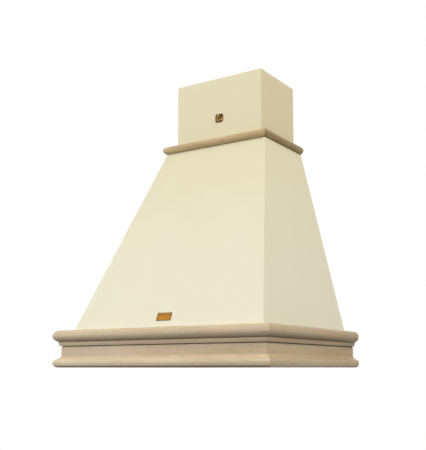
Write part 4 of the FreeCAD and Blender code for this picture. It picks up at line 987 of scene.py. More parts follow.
# ---------------------------------------------------------------- beech mouldings
@dataclass
class Moulding:
    """A moulding that goes round the front and both sides, mitred at the front corners."""

    name: str
    half: float
    depth: float
    foot: float
    slot: str = "beech"
    ease: float = 0.5 * MM
    joint: float = 0.12 * MM
    mitre_shade: float = 0.14
    mitre_core: float = 0.3 * MM
    mitre_reach: float = 1.4 * MM

    def outline(self) -> list[tuple[float, float, float]]:
        """Section as (inset behind the nose, height, depth of painted shade) points."""
        raise NotImplementedError

    def bar(self, node: str, finish: Beech) -> None:
        """Build one bar: the front one between two mitres, or a side one from a mitre to the wall."""
        outline = self.outline()
        # the wood darkens towards each mitre: partly a dark joint line, partly painted shade in the joint's
        # groove
        stops = [(self.joint, self.mitre_shade), (self.joint + self.mitre_core, self.mitre_shade),
                 (self.joint + self.mitre_reach, 0.0)]
        loops = []
        if node.endswith("front"):
            for side, row in ((LEFT, stops), (RIGHT, stops[::-1])):
                for gap, shade in row:
                    section = [(side * (self.half - inset - gap), inset - self.depth, self.foot + level)
                               for inset, level, _ in outline]
                    loops.append((section, shade))
        else:
            side = LEFT if node.endswith("left") else RIGHT
            for gap, shade in stops:
                section = [(side * (self.half - inset), inset - self.depth + gap, self.foot + level)
                           for inset, level, _ in outline]
                loops.append((section, shade))
            wall = [(side * (self.half - inset), 0.0, self.foot + level) for inset, level, _ in outline]
            loops.append((wall, 0.0))
        work = bmesh.new()
        painted_shade = work.verts.layers.float.new("painted_shade")
        rows = loft(work, [points for points, _ in loops])
        for row, (_, mitre) in zip(rows, loops):
            for point, (_, _, shade) in zip(row, outline):
                point[painted_shade] = max(shade, mitre)
        outward(work)
        made = object_of(node + "_profile", work)
        settle(eased(made, self.ease, angle=32), finish.make(), self.slot, node)

    def build(self, finishes: dict[str, Beech]) -> None:
        """Build the three bars."""
        for side, finish in finishes.items():
            self.bar(f"{self.name}_{side}", finish)


@dataclass
class BaseMoulding(Moulding):
    """Deep moulding of the foot: two noses, a cove, a fascia and a sloping strip between quirks."""

    height: float = 89 * MM
    thickness: float = 37 * MM
    low_radius: float = 10.3 * MM
    low_inset: float = 1.0 * MM
    low_sweep: float = 50.0
    cove_sag: float = 1.2 * MM
    cove_steps: int = 8
    fascia_inset: float = 16.0 * MM
    fascia_bottom: float = 27.0 * MM
    fascia_height: float = 22.7 * MM
    strip_inset: float = 12.4 * MM
    strip_top_inset: float = 10.3 * MM
    top_radius: float = 14.0 * MM
    top_sweep: float = 70.0
    quirk_depth: float = 1.6 * MM
    quirk_width: float = 1.8 * MM
    quirk_shade: float = 0.85
    # painted shade along the bottom edge: full up to the first height, gone by the second
    line: float = 2.3 * MM
    underside_shade_reach: float = 4.2 * MM

    def outline(self) -> list[tuple[float, float, float]]:
        """Section from the foot of the lower nose up to the back of the top."""
        low = (self.low_inset + self.low_radius, self.low_radius)
        nose = arc(low, self.low_radius, 270, 180 - self.low_sweep, 14)
        start, end = nose[-1], (self.fascia_inset, self.fascia_bottom)
        run, rise = end[0] - start[0], end[1] - start[1]
        chord = math.hypot(run, rise)
        cove = []
        for i in range(1, self.cove_steps):
            share = i / self.cove_steps
            sag = self.cove_sag * 4 * share * (1 - share)
            cove.append((start[0] + run * share + sag * rise / chord,
                         start[1] + rise * share - sag * run / chord))
        top = (self.top_radius, self.height - self.top_radius)
        upper = arc(top, self.top_radius, 180 + self.top_sweep, 90, 22)
        fascia_top = self.fascia_bottom + self.fascia_height
        strip_foot = fascia_top + self.quirk_width
        quirk_top = upper[0][1] - self.quirk_width
        lit = [(self.fascia_inset, self.fascia_bottom, 0.0), (self.fascia_inset, fascia_top, 0.0),
               (self.fascia_inset + self.quirk_depth, fascia_top, self.quirk_shade),
               (self.fascia_inset + self.quirk_depth, strip_foot, self.quirk_shade),
               (self.strip_inset, strip_foot, 0.3), (self.strip_top_inset, quirk_top, 0.0),
               (upper[0][0] + self.quirk_depth, quirk_top + self.quirk_width / 2, self.quirk_shade)]
        # painted shade: the bottom of the lower nose, the quirks, the strip under the top nose, the top
        # nose's underside and the flat underside
        fade = self.underside_shade_reach - self.line
        points = [(inset, level, min(1.0, max(0.0, (self.underside_shade_reach - level) / fade)))
                  for inset, level in nose + cove] + lit
        points += [(inset, level, max(0.09, 0.8 - 0.075 * i)) for i, (inset, level) in enumerate(upper)]
        return points + [(self.thickness, self.height, 0.0), (self.thickness, 0.0, 0.3),
                         (low[0] + 1.5 * MM, 0.0, 0.3)]


@dataclass
class NeckMoulding(Moulding):
    """Flat bar with a half-round nose round the top of the canopy."""

    thickness: float = 21 * MM
    width: float = 45 * MM

    def outline(self) -> list[tuple[float, float, float]]:
        """Section from the nose's foot round to its top and along the back."""
        radius = self.thickness / 2
        nose = arc((radius, radius), radius, 270, 90, 20)
        # painted shade under the nose, a thin painted dark line near its top and painted shade on the flat
        # underside
        shades = [1.0, 1.0, 0.6, 0.15] + [0.0] * 12 + [0.08, 0.2, 0.2, 0.1, 0.0]
        points = [(inset, level, shade) for (inset, level), shade in zip(nose, shades)]
        return points + [(self.width, self.thickness, 0.0), (self.width, 0.0, 0.6)]


# ---------------------------------------------------------------- painted panels
@dataclass
class Casing:
    """Three painted panels, mitred at the front corners under one softly rounded arris."""

    name: str
    low: float
    high: float
    halves: tuple[float, float]
    depths: tuple[float, float]
    sheets: tuple[float, float]
    arris: float = 1.1 * MM
    steps: int = 4
    slot: str = "ivory_panel"

    def corner(self, half: float, depth: float) -> list[tuple[float, float]]:
        """Rounded outer corner from the front face to the side face, as (x, y) of the right side."""
        centre = (half - self.arris, self.arris - depth)
        return arc(centre, self.arris, -90, 0, 2 * self.steps)

    def front(self, finish: bpy.types.Material) -> None:
        """Build the front panel between the two mitres."""
        loops = []
        for level, half, depth in zip((self.low, self.high), self.halves, self.depths):
            bend = self.corner(half, depth)[:self.steps + 1]
            inner = (half - self.sheets[0], self.sheets[1] - depth)
            right = [(x, y, 0.0) for x, y in bend] + [(*inner, 1.0)]
            left = [(-x, y, inside) for x, y, inside in reversed(right)]
            loops.append([(x, y, level, inside) for x, y, inside in right + left])
        self.panel("front", loops, finish)

    def side(self, name: str, sign: int, finish: bpy.types.Material) -> None:
        """Build a side panel from its mitre to the wall."""
        loops = []
        for level, half, depth in zip((self.low, self.high), self.halves, self.depths):
            bend = self.corner(half, depth)[self.steps:]
            inner = half - self.sheets[0]
            plan = [(x, y, 0.0) for x, y in bend + [(half, 0.0)]]
            plan += [(inner, 0.0, 1.0), (inner, self.sheets[1] - depth, 1.0)]
            loops.append([(sign * x, y, level, inside) for x, y, inside in plan])
        self.panel(name, loops, finish)

    def panel(self, side: str, loops: list, finish: bpy.types.Material) -> None:
        """Skin a panel's two sections; the fourth number of a point is 1 on the raw inner face."""
        work = bmesh.new()
        layer = work.verts.layers.float.new("inside")
        rows = loft(work, [[point[:3] for point in loop] for loop in loops])
        for row, loop in zip(rows, loops):
            for point, (_, _, _, inside) in zip(row, loop):
                point[layer] = inside
        outward(work)
        made = object_of(f"{self.name}_{side}_panel", work)
        settle(eased(made, 0.0, angle=30), finish, self.slot, f"{self.name}_{side}")

    def build(self, finish: bpy.types.Material, side_finish: bpy.types.Material) -> None:
        """Build the three panels."""
        self.front(finish)
        self.side("left", LEFT, side_finish)
        self.side("right", RIGHT, side_finish)


# ---------------------------------------------------------------- plates
@dataclass
class Plate:
    """Bare plate with a rolled rim and a hand-finished field, laid on a panel."""

    node: str
    size: tuple[float, float]
    sheet: float
    corner: float
    slot: str
    lay: Callable[[Vector], Point]
    dent: float
    deep: float
    rim_deep: float = 0.9
    rim: float = 1.4 * MM
    rim_foot: float = 0.1 * MM
    edge: float = 0.25 * MM
    smallest_corner: float = 0.15 * MM
    field_share: float = 0.55
    field_rings: int = 3
    ring_width: float = 1.1 * MM
    cuts: int = 5
    longest: float = 2.0 * MM
    fade: float = 1.2 * MM

    def outline(self, inset: float, level: float) -> list[Point]:
        """Rounded rectangle at an inset from the edge."""
        half_x, half_y = self.size[0] / 2 - inset, self.size[1] / 2 - inset
        radius = max(self.corner - inset, self.smallest_corner)
        points = []
        for turn, (x, y) in enumerate(((1, 1), (-1, 1), (-1, -1), (1, -1))):
            centre = (x * (half_x - radius), y * (half_y - radius))
            points += [(*spot, level) for spot in arc(centre, radius, 90 * turn, 90 * turn + 90, 5)]
        return points

    def dented(self, x: float, y: float) -> float:
        """Give the uneven height of the field at a place, level along the rim."""
        wave = math.sin(x * 3100 + 1.3) * math.sin(y * 2700 + 0.4) + 0.6 * math.sin(x * 5300 - y * 4100)
        inside = min(self.size[0] / 2 - abs(x), self.size[1] / 2 - abs(y)) - self.rim
        return self.dent * wave * min(1.0, max(0.0, inside) / self.fade)

    def build(self, finish: Patina) -> None:
        """Build the plate from its foot over the rim to a gridded field."""
        sheet, edge, field = self.sheet, self.edge, self.sheet * self.field_share
        steps = ((0.0, 0.0), (0.0, sheet - edge), (edge * 0.3, sheet - edge * 0.3), (edge, sheet),
                 (self.rim - edge, sheet), (self.rim, sheet - edge), (self.rim + self.rim_foot, field))
        work = bmesh.new()
        layer = work.verts.layers.float.new("deep")
        rings = loft(work, [self.outline(inset, level) for inset, level in steps])
        top = next(face for face in work.faces if set(face.verts) == set(rings[-1]))
        for _ in range(self.field_rings):
            bmesh.ops.inset_individual(work, faces=[top], thickness=self.ring_width, depth=0.0)
        bmesh.ops.triangulate(work, faces=[top])
        inner = [line for line in work.edges if line.calc_length() > self.longest
                 and all(abs(point.co.z - field) < NEAR for point in line.verts)]
        bmesh.ops.subdivide_edges(work, edges=inner, cuts=self.cuts, use_grid_fill=True)
        for point in work.verts:
            x, y, z = point.co
            if abs(z - field) < NEAR:
                point.co.z += self.dented(x, y)
                point[layer] = self.deep * (0.75 + 0.25 * math.sin(x * 900) * math.cos(y * 700))
            else:
                point[layer] = self.rim_deep
        bmesh.ops.triangulate(work, faces=[face for face in work.faces if len(face.verts) > 4])
        outward(work)
        made = shifted(object_of(self.node + "_bare", work), self.lay)
        settle(smooth(made, 40), finish.make(), self.slot, self.node)


# ---------------------------------------------------------------- the joinery
@dataclass
class Cover:
    """The joinery: two mouldings, the leaning canopy, the chimney and the two bare plates."""

    half: float = 300 * MM
    depth: float = 450 * MM
    base_height: float = 89 * MM
    canopy_halves: tuple[float, float] = (263 * MM, 149 * MM)
    canopy_depths: tuple[float, float] = (413 * MM, 195 * MM)
    canopy_sheet: float = 12 * MM
    neck_half: float = 157.5 * MM
    neck_depth: float = 203.5 * MM
    neck_level: float = 563 * MM
    chimney_foot: float = 584 * MM
    chimney_half: float = 128.5 * MM
    chimney_depth: float = 176 * MM
    chimney_sheet: float = 10 * MM
    top: float = 750 * MM
    plate_up: float = 27 * MM
    badge_x: float = 4 * MM
    badge_up: float = 58 * MM

    def base(self) -> None:
        """Build the deep moulding of the foot, each bar from its own board, the side bars in darker colours
        as painted shade.
        """
        # painted shade: darker beech colours for the two side bars
        shade = {"light": tint(202, 182, 151), "dark": tint(174, 150, 117), "pink": tint(198, 170, 140),
                 "line": tint(150, 124, 90), "figure": 0.34}
        paler = {**shade, "light": tint(203, 185, 152), "dark": tint(168, 144, 111), "shade_drift": -0.9}
        front = Beech("beech_base_front", Run.ALONG_X, 3.7, (-0.395, -0.012), slant=0.02, figure=0.42,
                      shade_drift=-0.35)
        left = Beech("beech_base_left", Run.ALONG_Y, 11.2, (-0.25, -0.02), slant=0.03, **shade)
        right = Beech("beech_base_right", Run.ALONG_Y, 19.6, (0.25, -0.015), slant=-0.02, **paler)
        moulding = BaseMoulding("base_moulding", self.half, self.depth, 0.0, height=self.base_height)
        moulding.build({"front": front, "left": left, "right": right})

    def neck(self) -> None:
        """Build the round-nosed moulding of the neck, with a small knot in its front bar and its side bars in
        darker colours as painted shade.
        """
        board = {"light": tint(212, 190, 150), "dark": tint(181, 155, 111), "pink": tint(204, 176, 140),
                 "line": tint(140, 110, 70), "ring": 2.8 * MM, "slant": 0.16, "figure": 0.6, "flecks": 0.5}
        # painted shade: darker beech colours for the two side bars
        shade = {"light": tint(172, 151, 113), "dark": tint(147, 122, 84), "pink": tint(169, 142, 108),
                 "line": tint(128, 98, 60), "ring": 2.8 * MM, "slant": 0.12, "figure": 0.55, "flecks": 0.45}
        knot = Knot((32 * MM, -self.neck_depth, self.neck_level + 8 * MM), 2.6 * MM, 1.5)
        front = Beech("beech_neck_front", Run.ALONG_X, 31.1, (-0.15, 0.548), knots=(knot,), **board)
        left = Beech("beech_neck_left", Run.ALONG_Y, 41.8, (-0.11, 0.55), **shade)
        right = Beech("beech_neck_right", Run.ALONG_Y, 52.3, (0.11, 0.55), **shade)
        moulding = NeckMoulding("neck_moulding", self.neck_half, self.neck_depth, self.neck_level,
                                mitre_shade=1.0, mitre_core=0.6 * MM, ease=0.6 * MM)
        moulding.build({"front": front, "left": left, "right": right})

    def slopes(self) -> tuple[float, float]:
        """Give how far the canopy's sides and front lean in for each metre up."""
        rise = self.neck_level - self.base_height
        return tuple((low - high) / rise for low, high in (self.canopy_halves, self.canopy_depths))

    def casings(self) -> None:
        """Build the painted panels of the canopy and the chimney; the canopy's front and the chimney's sides
        take darker copies of the lacquer as painted shade.
        """
        lacquer = Lacquer("ivory_lacquer").make()
        # painted shade: darker-headed copies of the lacquer for the canopy's leaning front and the chimney's
        # sides
        slope = Lacquer("ivory_lacquer_slope_shaded", head=tint(225, 217, 184)).make()
        flank = Lacquer("ivory_lacquer_flank_shaded", head=tint(224, 211, 175)).make()
        sheets = tuple(self.canopy_sheet * math.hypot(1, lean) for lean in self.slopes())
        Casing("canopy", self.base_height, self.neck_level, self.canopy_halves, self.canopy_depths,
               sheets).build(slope, lacquer)
        Casing("chimney", self.chimney_foot, self.top, (self.chimney_half,) * 2, (self.chimney_depth,) * 2,
               (self.chimney_sheet,) * 2).build(lacquer, flank)

    def on_canopy(self, point: Vector) -> Point:
        """Lay a point of the plate on the leaning front panel."""
        lean = math.atan(self.slopes()[1])
        up = point.y + self.plate_up
        return (point.x, up * math.sin(lean) - point.z * math.cos(lean) - self.canopy_depths[0],
                up * math.cos(lean) + point.z * math.sin(lean) + self.base_height)

    def on_chimney(self, point: Vector) -> Point:
        """Lay a point of the badge on the chimney's front."""
        return (point.x + self.badge_x, -self.chimney_depth - point.z,
                point.y + self.chimney_foot + self.badge_up)

    def plates(self) -> None:
        """Build the two bare plates."""
        brass = Patina("rolled_brass", tint(158, 104, 26), tint(84, 70, 28), 0.4)
        bronze = Patina("antique_bronze", tint(172, 136, 58), tint(56, 30, 8), 0.52, grain=3.4 * MM,
                        spread=0.1)
        Plate("front_plate", (40 * MM, 20 * MM), 1.0 * MM, 1.7 * MM, "brass", self.on_canopy,
              dent=0.02 * MM, deep=0.1).build(brass)
        Plate("chimney_badge", (23 * MM, 22 * MM), 1.4 * MM, 4.6 * MM, "bronze", self.on_chimney,
              dent=0.1 * MM, deep=0.3, rim_deep=0.5).build(bronze)

    def build(self) -> None:
        """Build the joinery from the foot up."""
        self.base()
        self.neck()
        self.casings()
        self.plates()


# ---------------------------------------------------------------- fasteners
@dataclass
class Fasteners:
    """Screws and rivets, each shape made once and repeated on the points that it holds."""

    tray_inner_half: float = 242.3 * MM
    tray_screw_y: tuple[float, float] = (-351.5 * MM, -61.5 * MM)
    tray_screw_level: float = 36.0 * MM
    housing_top: float = 290.2 * MM
    flange_top: float = 14.35 * MM
    flange_half: float = 185.5 * MM
    flange_front: float = -275.5 * MM
    flange_back: float = -37.0 * MM
    side_pitch: float = 36.0 * MM
    front_pitch: float = 50.0 * MM
    rivets_in_row: int = 7
    collar_y: float = -88.25 * MM
    collar_sheet: float = 3.0 * MM
    collar_reach: tuple[float, float] = (56.0 * MM, 49.0 * MM)
    lid_x: tuple[float, float] = (-150.5 * MM, -89.5 * MM)
    lid_y: tuple[float, float] = (-160.5 * MM, -119.5 * MM)
    lid_height: float = 30.0 * MM
    fitting_y: float = -331.75 * MM
    lamp_x: float = 170.0 * MM
    lamp_reach: float = 46.4 * MM
    lamp_face: float = 10.25 * MM
    bezel_reach: float = 75.0 * MM
    bezel_face: float = 9.55 * MM
    filter_x: tuple[float, float] = (12.8 * MM, 165.2 * MM)
    filter_y: tuple[float, float] = (-255.2 * MM, -39.8 * MM)
    filter_face: float = 12.02 * MM
    bracket: Point = (-63.0 * MM, -152.25 * MM, 170.0 * MM)
    bracket_radius: float = 66.0 * MM
    bracket_turns: tuple[int, ...] = (90, 210, 330)
    button_pitch: float = 27.0 * MM
    button_face: float = 6.52 * MM
    mark_pitch: float = 3.0 * MM

    def hex_screw(self, shank: float) -> bpy.types.Object:
        """Hexagon head on a pressed washer, chamfered, with its shank below."""
        washer = turned("washer", scaled(MM, (0, 0), (4.7, 0), (4.8, 0.3), (4.3, 0.8), (0, 0.8)), 20, False)
        head = turned("head", scaled(MM, (0, 0.7), (3.75, 0.7), (3.75, 2.1), (3.1, 2.4), (0, 2.15)), 6, False)
        stem = turned("stem", scaled(MM, (0, 0.1), (1.9, 0.1), (1.9, -shank), (0, -shank)), 10, False)
        return merged("hex_screw", [washer, head, stem])

    def pan_screw(self, radius: float) -> bpy.types.Object:
        """Domed head with a cross recess."""
        rise, foot = 0.62, 0.12
        dome = [(math.cos(math.radians(a)), foot + (rise - foot) * math.sin(math.radians(a)))
                for a in range(0, 90, 15)]
        head = turned("dome", scaled(radius, (0, 0), (1, 0), *dome, (0, rise)), 20, False)
        wide, slot, low, high = 0.475 * radius, 0.14 * radius, 0.45 * rise * radius, 2 * rise * radius
        for name, x, y in (("cut_a", wide, slot), ("cut_b", slot, wide)):
            cutter = bar(name, (-x, -y, low), (x, y, high))
            cut = head.modifiers.new("cut", "BOOLEAN")
            cut.operation, cut.object, cut.solver = "DIFFERENCE", cutter, "EXACT"
            plain(head)
            bpy.data.objects.remove(cutter)
        return head

    def rivet(self, radius: float) -> bpy.types.Object:
        """Low round head."""
        return turned("rivet", scaled(radius, (0, 0), (1, 0), (0.92, 0.3), (0.55, 0.5), (0, 0.56)), 14, False)

    def row(self, name: str, head: bpy.types.Object, places: Sequence[Point],
            out: Union[Point, Sequence[Point]], finish: bpy.types.Material, slot: str, *nodes: str,
            body: str = "root") -> None:
        """Set one fastener on each place.

        Args:
            name: of the piece.
            head: the fastener, standing along Z; it is removed afterwards.
            places: the points that the heads sit on.
            out: the way out of the surface, one for all or one for each place.
            finish: the material.
            slot: the record's material slot.
            nodes: the model nodes that the piece replaces.
            body: the body that it rides on.
        """
        made = started(name, places)
        way = made.data.attributes.new("way", "FLOAT_VECTOR", "POINT")
        ways = out if isinstance(out, list) else [out] * len(places)
        for entry, vector in zip(way.data, ways):
            entry.vector = vector
        fastener_set().lay(made, finish, head=head)
        settle(smooth(grown(made, head), 30), finish, slot, *nodes, body=body)

    def insert(self, zinc: bpy.types.Material) -> None:
        """Set the screws and rivets of the tray, the housing, the collar and the connection box."""
        sides = list(product(SIDES, self.tray_screw_y))
        self.row("tray_hex_screws", self.hex_screw(13.5),
                 [(side * self.tray_inner_half, y, self.tray_screw_level) for side, y in sides],
                 [(-side, 0.0, 0.0) for side, _ in sides], zinc, "bright_steel", "tray_screws")
        reach_x, reach_y = self.collar_reach
        corners = [(i * reach_x, self.collar_y + j * reach_y, self.housing_top + self.collar_sheet)
                   for i, j in product(SIDES, SIDES)]
        self.row("collar_hex_screws", self.hex_screw(7.0), corners, UP, zinc, "bright_steel", "blower_screws")
        count = range(self.rivets_in_row)
        rivets = [(side * self.flange_half, self.flange_back - i * self.side_pitch, self.flange_top)
                  for side, i in product(SIDES, count)]
        middle = (self.rivets_in_row - 1) / 2
        rivets += [((i - middle) * self.front_pitch, self.flange_front, self.flange_top) for i in count]
        self.row("housing_rivets", self.rivet(2.4 * MM), rivets, UP, zinc, "bright_steel")
        lid = [(x, y, self.housing_top + self.lid_height) for x, y in product(self.lid_x, self.lid_y)]
        self.row("lid_screws", self.pan_screw(2.6 * MM), lid, UP, zinc, "bright_steel")

    def underside(self, zinc: bpy.types.Material) -> None:
        """Set the screws of the lamps and the bezel, and the corner rivets of the filters."""
        places = [(side * self.lamp_x + i * side * self.lamp_reach, self.fitting_y, self.lamp_face)
                  for side, i in product(SIDES, SIDES)]
        places += [(side * self.bezel_reach, self.fitting_y, self.bezel_face) for side in SIDES]
        self.row("fitting_screws", self.pan_screw(1.7 * MM), places, DOWN, zinc, "bright_steel")
        pale = Metal("rivet_aluminium", tint(206, 208, 210), roughness=0.32).make()
        for side, word in zip(SIDES, WORDS):
            places = [(side * x, y, self.filter_face) for x, y in product(self.filter_x, self.filter_y)]
            self.row(f"frame_rivets_{word}", self.rivet(2.0 * MM), places, DOWN, pale, "aluminium",
                     body=f"filter_{word}")

    def motor(self, zinc: bpy.types.Material) -> None:
        """Set the screws of the motor's bracket."""
        x, y, z = self.bracket
        turns = [math.radians(angle) for angle in self.bracket_turns]
        places = [(x, y + self.bracket_radius * math.cos(turn), z + self.bracket_radius * math.sin(turn))
                  for turn in turns]
        self.row("bracket_screws", self.hex_screw(6.0), places, (-1.0, 0.0, 0.0), zinc, "bright_steel")

    def marks(self) -> None:
        """Set the dots on the buttons: none on the first, then one more on each."""
        white = Moulded("mark_white", tint(214, 214, 210), 0.5).make()
        for button in range(2, 6):
            dots = button - 1
            places = [((button - 3) * self.button_pitch + (i - (dots - 1) / 2) * self.mark_pitch,
                       self.fitting_y, self.button_face) for i in range(dots)]
            self.row(f"button_marks_{button}", self.rivet(0.7 * MM), places, DOWN, white, "button_plastic",
                     body=f"push_{button}")

    def build(self) -> None:
        """Set every fastener."""
        zinc = Metal("fastener_zinc", tint(206, 206, 200), roughness=0.3).make()
        self.insert(zinc)
        self.underside(zinc)
        self.motor(zinc)
        self.marks()


@dataclass
class Ribs:
    """Grips, prisms and cooling fins: one rib repeated in a row or round the motor."""

    lens_x: float = 170.0 * MM
    lens_y: float = -331.75 * MM
    lens_face: float = 11.1 * MM
    prisms: int = 27
    prism_pitch: float = 3.0 * MM
    latch_x: float = 89.0 * MM
    latch_front: float = -252.4 * MM
    latch_face: float = 9.0 * MM
    ridges: int = 4
    ridge_pitch: float = 2.4 * MM
    motor_centre: Point = (-37.0 * MM, -152.25 * MM, 170.0 * MM)
    motor_radius: float = 38.0 * MM
    fins: int = 36
    fin_half: tuple[float, float] = (15.0 * MM, 0.7 * MM)
    fin_reach: tuple[float, float] = (-0.6 * MM, 2.0 * MM)

    def row(self, name: str, rib: bpy.types.Object, finish: bpy.types.Material, slot: str, body: str,
            count: int, start: Point, step: Point) -> None:
        """Lay one row of ribs."""
        made = started(name)
        rib_row().lay(made, finish, shape=rib, count=count, start=start, step=step)
        settle(smooth(grown(made, rib), 40), finish, slot, body=body)

    def build(self) -> None:
        """Build every rib."""
        glass = FrostedGlass("prism_glass").make()
        grip = Moulded("grip_black", tint(38, 38, 40), 0.5).make()
        lead = (self.prisms - 1) / 2 * self.prism_pitch
        for side, word in zip(SIDES, WORDS):
            prism = bar("prism", (-0.9 * MM, -20.0 * MM, -0.5 * MM), (0.9 * MM, 20.0 * MM, 0.4 * MM))
            self.row(f"lens_prisms_{word}", eased(prism, 0.4 * MM), glass, "lens", "root", self.prisms,
                     (side * self.lens_x - lead, self.lens_y, self.lens_face), (self.prism_pitch, 0.0, 0.0))
            ridge = bar("ridge", (-10.0 * MM, -0.6 * MM, -0.5 * MM), (10.0 * MM, 0.6 * MM, 0.5 * MM))
            self.row(f"latch_ridges_{word}", eased(ridge, 0.3 * MM), grip, "latch_plastic", f"latch_{word}",
                     self.ridges, (side * self.latch_x, self.latch_front, self.latch_face),
                     (0.0, self.ridge_pitch, 0.0))
        enamel = Moulded("fin_enamel", tint(92, 96, 100), 0.4).make()
        x, z = self.fin_half
        low, high = (self.motor_radius + reach for reach in self.fin_reach)
        fin = bar("fin", (-x, low, -z), (x, high, z))
        made = started("motor_fins")
        spoke_ring().lay(made, enamel, shape=fin, count=self.fins, centre=self.motor_centre)
        settle(smooth(grown(made, fin), 30), enamel, "motor_steel", body="root")


# ---------------------------------------------------------------- grease filters
@dataclass(frozen=True)
class Layer:
    """One sheet of stretched metal: its diamonds, its strand's section and its height in the pad."""

    columns: int
    rows: int
    strand: float
    sheet: float
    lift: float
    inner: bool = False


@dataclass
class GreaseFilters:
    """Layers of stretched aluminium in two channel frames."""

    inner_x: float = 6.8 * MM
    outer_x: float = 171.2 * MM
    front_y: float = -261.2 * MM
    back_y: float = -33.8 * MM
    grip: float = 7.0 * MM
    level: float = 16.5 * MM
    latch_depth: float = 28.0 * MM
    latch_room: tuple[float, float] = (26.0 * MM, 13.0 * MM)
    layers: tuple[Layer, ...] = (
        Layer(15, 38, 1.5 * MM, 0.55 * MM, -2.1 * MM),
        Layer(23, 20, 1.3 * MM, 0.5 * MM, -1.0 * MM),
        Layer(14, 36, 1.4 * MM, 0.5 * MM, 0.2 * MM, True),
        Layer(21, 22, 1.3 * MM, 0.5 * MM, 1.6 * MM, True),
    )

    def build(self) -> None:
        """Build both pads."""
        wire = Metal("stretched_aluminium", tint(190, 193, 196), Run.ALONG_Y, 0.36).make()
        dull = Metal("inner_aluminium", tint(150, 154, 158), Run.ALONG_Y, 0.45).make()
        width = self.outer_x - self.inner_x - 2 * self.grip
        depth = self.back_y - self.front_y - 2 * self.grip
        for side, word in zip(SIDES, WORDS):
            made = started(f"filter_mesh_{word}")
            x, y = side * (self.inner_x + self.outer_x) / 2, (self.front_y + self.back_y) / 2
            block = (x, self.front_y + self.latch_depth / 2, 0.0)
            for layer in self.layers:
                diamond_sheet().lay(made, dull if layer.inner else wire, width=width, depth=depth,
                                    columns=layer.columns, rows=layer.rows, strand=layer.strand,
                                    sheet=layer.sheet, centre=(x, y, self.level + layer.lift), block=block,
                                    room=(*self.latch_room, 0.0))
            settle(grown(made), None, "filter_mesh", f"filter_pad_{word}")


# ---------------------------------------------------------------- impeller
@dataclass
class Impeller:
    """Double-inlet drum of many bent blades, rings, a middle disc and hub."""

    centre: Point = (0.0, -152.25 * MM, 170.0 * MM)
    radius: float = 72.0 * MM
    eye: float = 58.0 * MM
    width: float = 88.0 * MM
    ring: float = 3.0 * MM
    disc: float = 1.4 * MM
    blades: int = 40
    bend: float = math.radians(15)
    stations: int = 5
    sheet: float = 0.9 * MM
    hub: float = 12.0 * MM
    hub_length: float = 24.0 * MM
    fillet: float = 3.0 * MM
    bore: float = 4.0 * MM
    edge: float = 0.5 * MM
    sides: int = 80

    def blade(self) -> bpy.types.Object:
        """One bent blade, standing at angle 0 about an axle along X."""
        shares = [i / self.stations for i in range(self.stations + 1)]
        polar = [(self.eye + (self.radius - self.eye) * share, self.bend * share ** 2) for share in shares]
        section = [(r * math.cos(turn), r * math.sin(turn)) for r, turn in polar]
        back = [(y, z - self.sheet) for y, z in reversed(section)]
        work = bmesh.new()
        loft(work, [[(x, y, z) for y, z in section + back] for x in (-self.width / 2, self.width / 2)])
        outward(work)
        return object_of("blade", work)

    def rim(self, low: float) -> bpy.types.Object:
        """End ring with eased edges, standing on a level."""
        high, edge = low + self.ring, self.edge
        outer, inner = self.radius, self.eye
        section = [(inner, low + edge), (inner + edge, low), (outer - edge, low), (outer, low + edge),
                   (outer, high - edge), (outer - edge, high), (inner + edge, high), (inner, high - edge)]
        return turned("ring", section, self.sides)

    def middle(self) -> bpy.types.Object:
        """Middle disc with its hub, the same on both faces."""
        hub, edge, fillet, disc, end = self.hub, self.edge, self.fillet, self.disc, self.hub_length / 2
        lower = [(self.bore, -end), (hub - edge, -end), (hub, edge - end), (hub + edge, -fillet),
                 (hub + fillet, -disc), (self.radius - edge, -disc)]
        upper = [(radius, -level) for radius, level in reversed(lower)]
        return turned("disc", lower + [(self.radius, 0.0)] + upper, self.sides)

    def build(self) -> None:
        """Build the drum."""
        finish = Moulded("drum_grey", tint(74, 77, 82), 0.4).make()
        half = self.width / 2
        made = merged("impeller_drum", [self.rim(-half), self.rim(half - self.ring), self.middle()])
        x, y, z = self.centre
        shifted(made, lambda point: (point.z + x, point.x + y, point.y + z))
        made.data.materials.append(finish)
        blade = self.blade()
        spoke_ring().lay(made, finish, shape=blade, count=self.blades, centre=self.centre)
        settle(smooth(grown(made, blade), 30), finish, "impeller_plastic", "impeller")


# ---------------------------------------------------------------- whole-node pieces
@dataclass(frozen=True)
class Easing:
    """How one group of model nodes is eased and finished."""

    nodes: tuple[str, ...]
    finish: Finish
    slot: str
    width: float
    segments: int = 2

    def build(self) -> None:
        """Ease every node of the group."""
        material = self.finish.make()
        for node in self.nodes:
            settle(eased(copied(node), self.width, self.segments), material, self.slot, node)


def both(name: str) -> tuple[str, ...]:
    """Left and right node of a pair."""
    return tuple(f"{name}_{word}" for word in WORDS)


def timber() -> Iterable[Easing]:
    """Groups of the hidden rails, battens and blocks."""
    slot, width = "frame_timber", 0.8 * MM
    backs = ("canopy_back_rail", "neck_back_rail", "chimney_back_rail")
    yield Easing(("base_rail_front", "base_rail_back", *backs), Softwood("softwood_across", Run.ALONG_X, 0.3),
                 slot, width)
    yield Easing(both("base_rail"), Softwood("softwood_deep", Run.ALONG_Y, 4.1), slot, width)
    yield Easing(("base_corner_blocks", *both("canopy_batten"), *both("chimney_batten")),
                 Softwood("softwood_upright", Run.ALONG_Z, 7.7), slot, width)


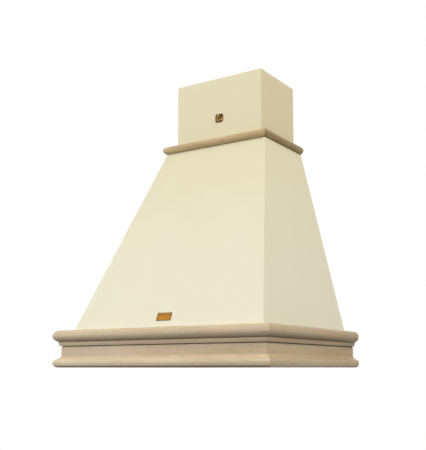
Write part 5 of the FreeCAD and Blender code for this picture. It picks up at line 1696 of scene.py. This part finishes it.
def insert() -> Iterable[Easing]:
    """Groups of the steel insert, its filters, lamps and switches."""
    ivory, enamel = tint(214, 209, 198), Moulded("tray_enamel", tint(222, 219, 208), 0.36, rubbed=0.1)
    zinc = Metal("zinc_coat", tint(176, 181, 185), spangle=14 * MM, roughness=0.45, metallic=0.65)
    brushed = Metal("brushed_frame", tint(174, 177, 180), lines=0.3 * MM)
    latch, lamp = Moulded("latch_black", tint(36, 36, 38), 0.5), Moulded("lamp_frame_ivory", ivory, 0.42)
    bezel, switch = Moulded("bezel_ivory", ivory, 0.42), Moulded("switch_black", tint(40, 40, 42), 0.5)
    button = Moulded("button_grey", tint(58, 58, 60), 0.4)
    yield Easing(("insert_tray",), enamel, "tray_steel", 0.3 * MM)
    yield Easing(("insert_housing",), zinc, "zinc_steel", 0.3 * MM)
    yield Easing(("motor_bracket",), Metal("bracket_zinc", tint(180, 184, 188)), "zinc_steel", 0.4 * MM)
    yield Easing(both("filter_frame"), brushed, "aluminium", 0.4 * MM)
    yield Easing(both("filter_latch"), latch, "latch_plastic", 0.35 * MM)
    yield Easing(both("lamp_housing"), lamp, "lamp_plastic", 0.3 * MM)
    yield Easing(both("lamp_lens"), FrostedGlass("lamp_glass"), "lens", 0.3 * MM)
    yield Easing(("control_bezel",), bezel, "lamp_plastic", 0.4 * MM)
    yield Easing(("switch_block",), switch, "switch_plastic", 0.5 * MM)
    yield Easing(tuple(f"button_{i}" for i in range(1, 6)), button, "button_plastic", 0.5 * MM, 3)


def blower() -> Iterable[Easing]:
    """Groups of the blower, its outlet and the connection box."""
    scroll = Moulded("blower_black", tint(42, 42, 44), 0.48)
    motor = Moulded("motor_enamel", tint(92, 96, 100), 0.4)
    bright = Metal("bright_zinc", tint(206, 208, 210), roughness=0.26)
    flap, box = Moulded("flap_black", tint(48, 48, 50), 0.5), Moulded("box_grey", tint(206, 206, 202), 0.5)
    yield Easing((*both("blower_half"), "duct_collar"), scroll, "blower_plastic", 0.5 * MM)
    yield Easing(("motor",), motor, "motor_steel", 0.6 * MM)
    yield Easing(("motor_shaft", "damper_pin"), bright, "bright_steel", 0.25 * MM)
    yield Easing(("damper_flap_front", "damper_flap_back"), flap, "flap_plastic", 0.2 * MM)
    yield Easing(("connection_box", "cable_gland"), box, "box_plastic", 0.7 * MM)


def main() -> None:
    """Build the studio and the hood."""
    Studio().build()
    Cover().build()
    for easing in (*timber(), *insert(), *blower()):
        easing.build()
    for assembly in (GreaseFilters(), Impeller(), Fasteners(), Ribs()):
        assembly.build()


if __name__ == "__main__":
    main()
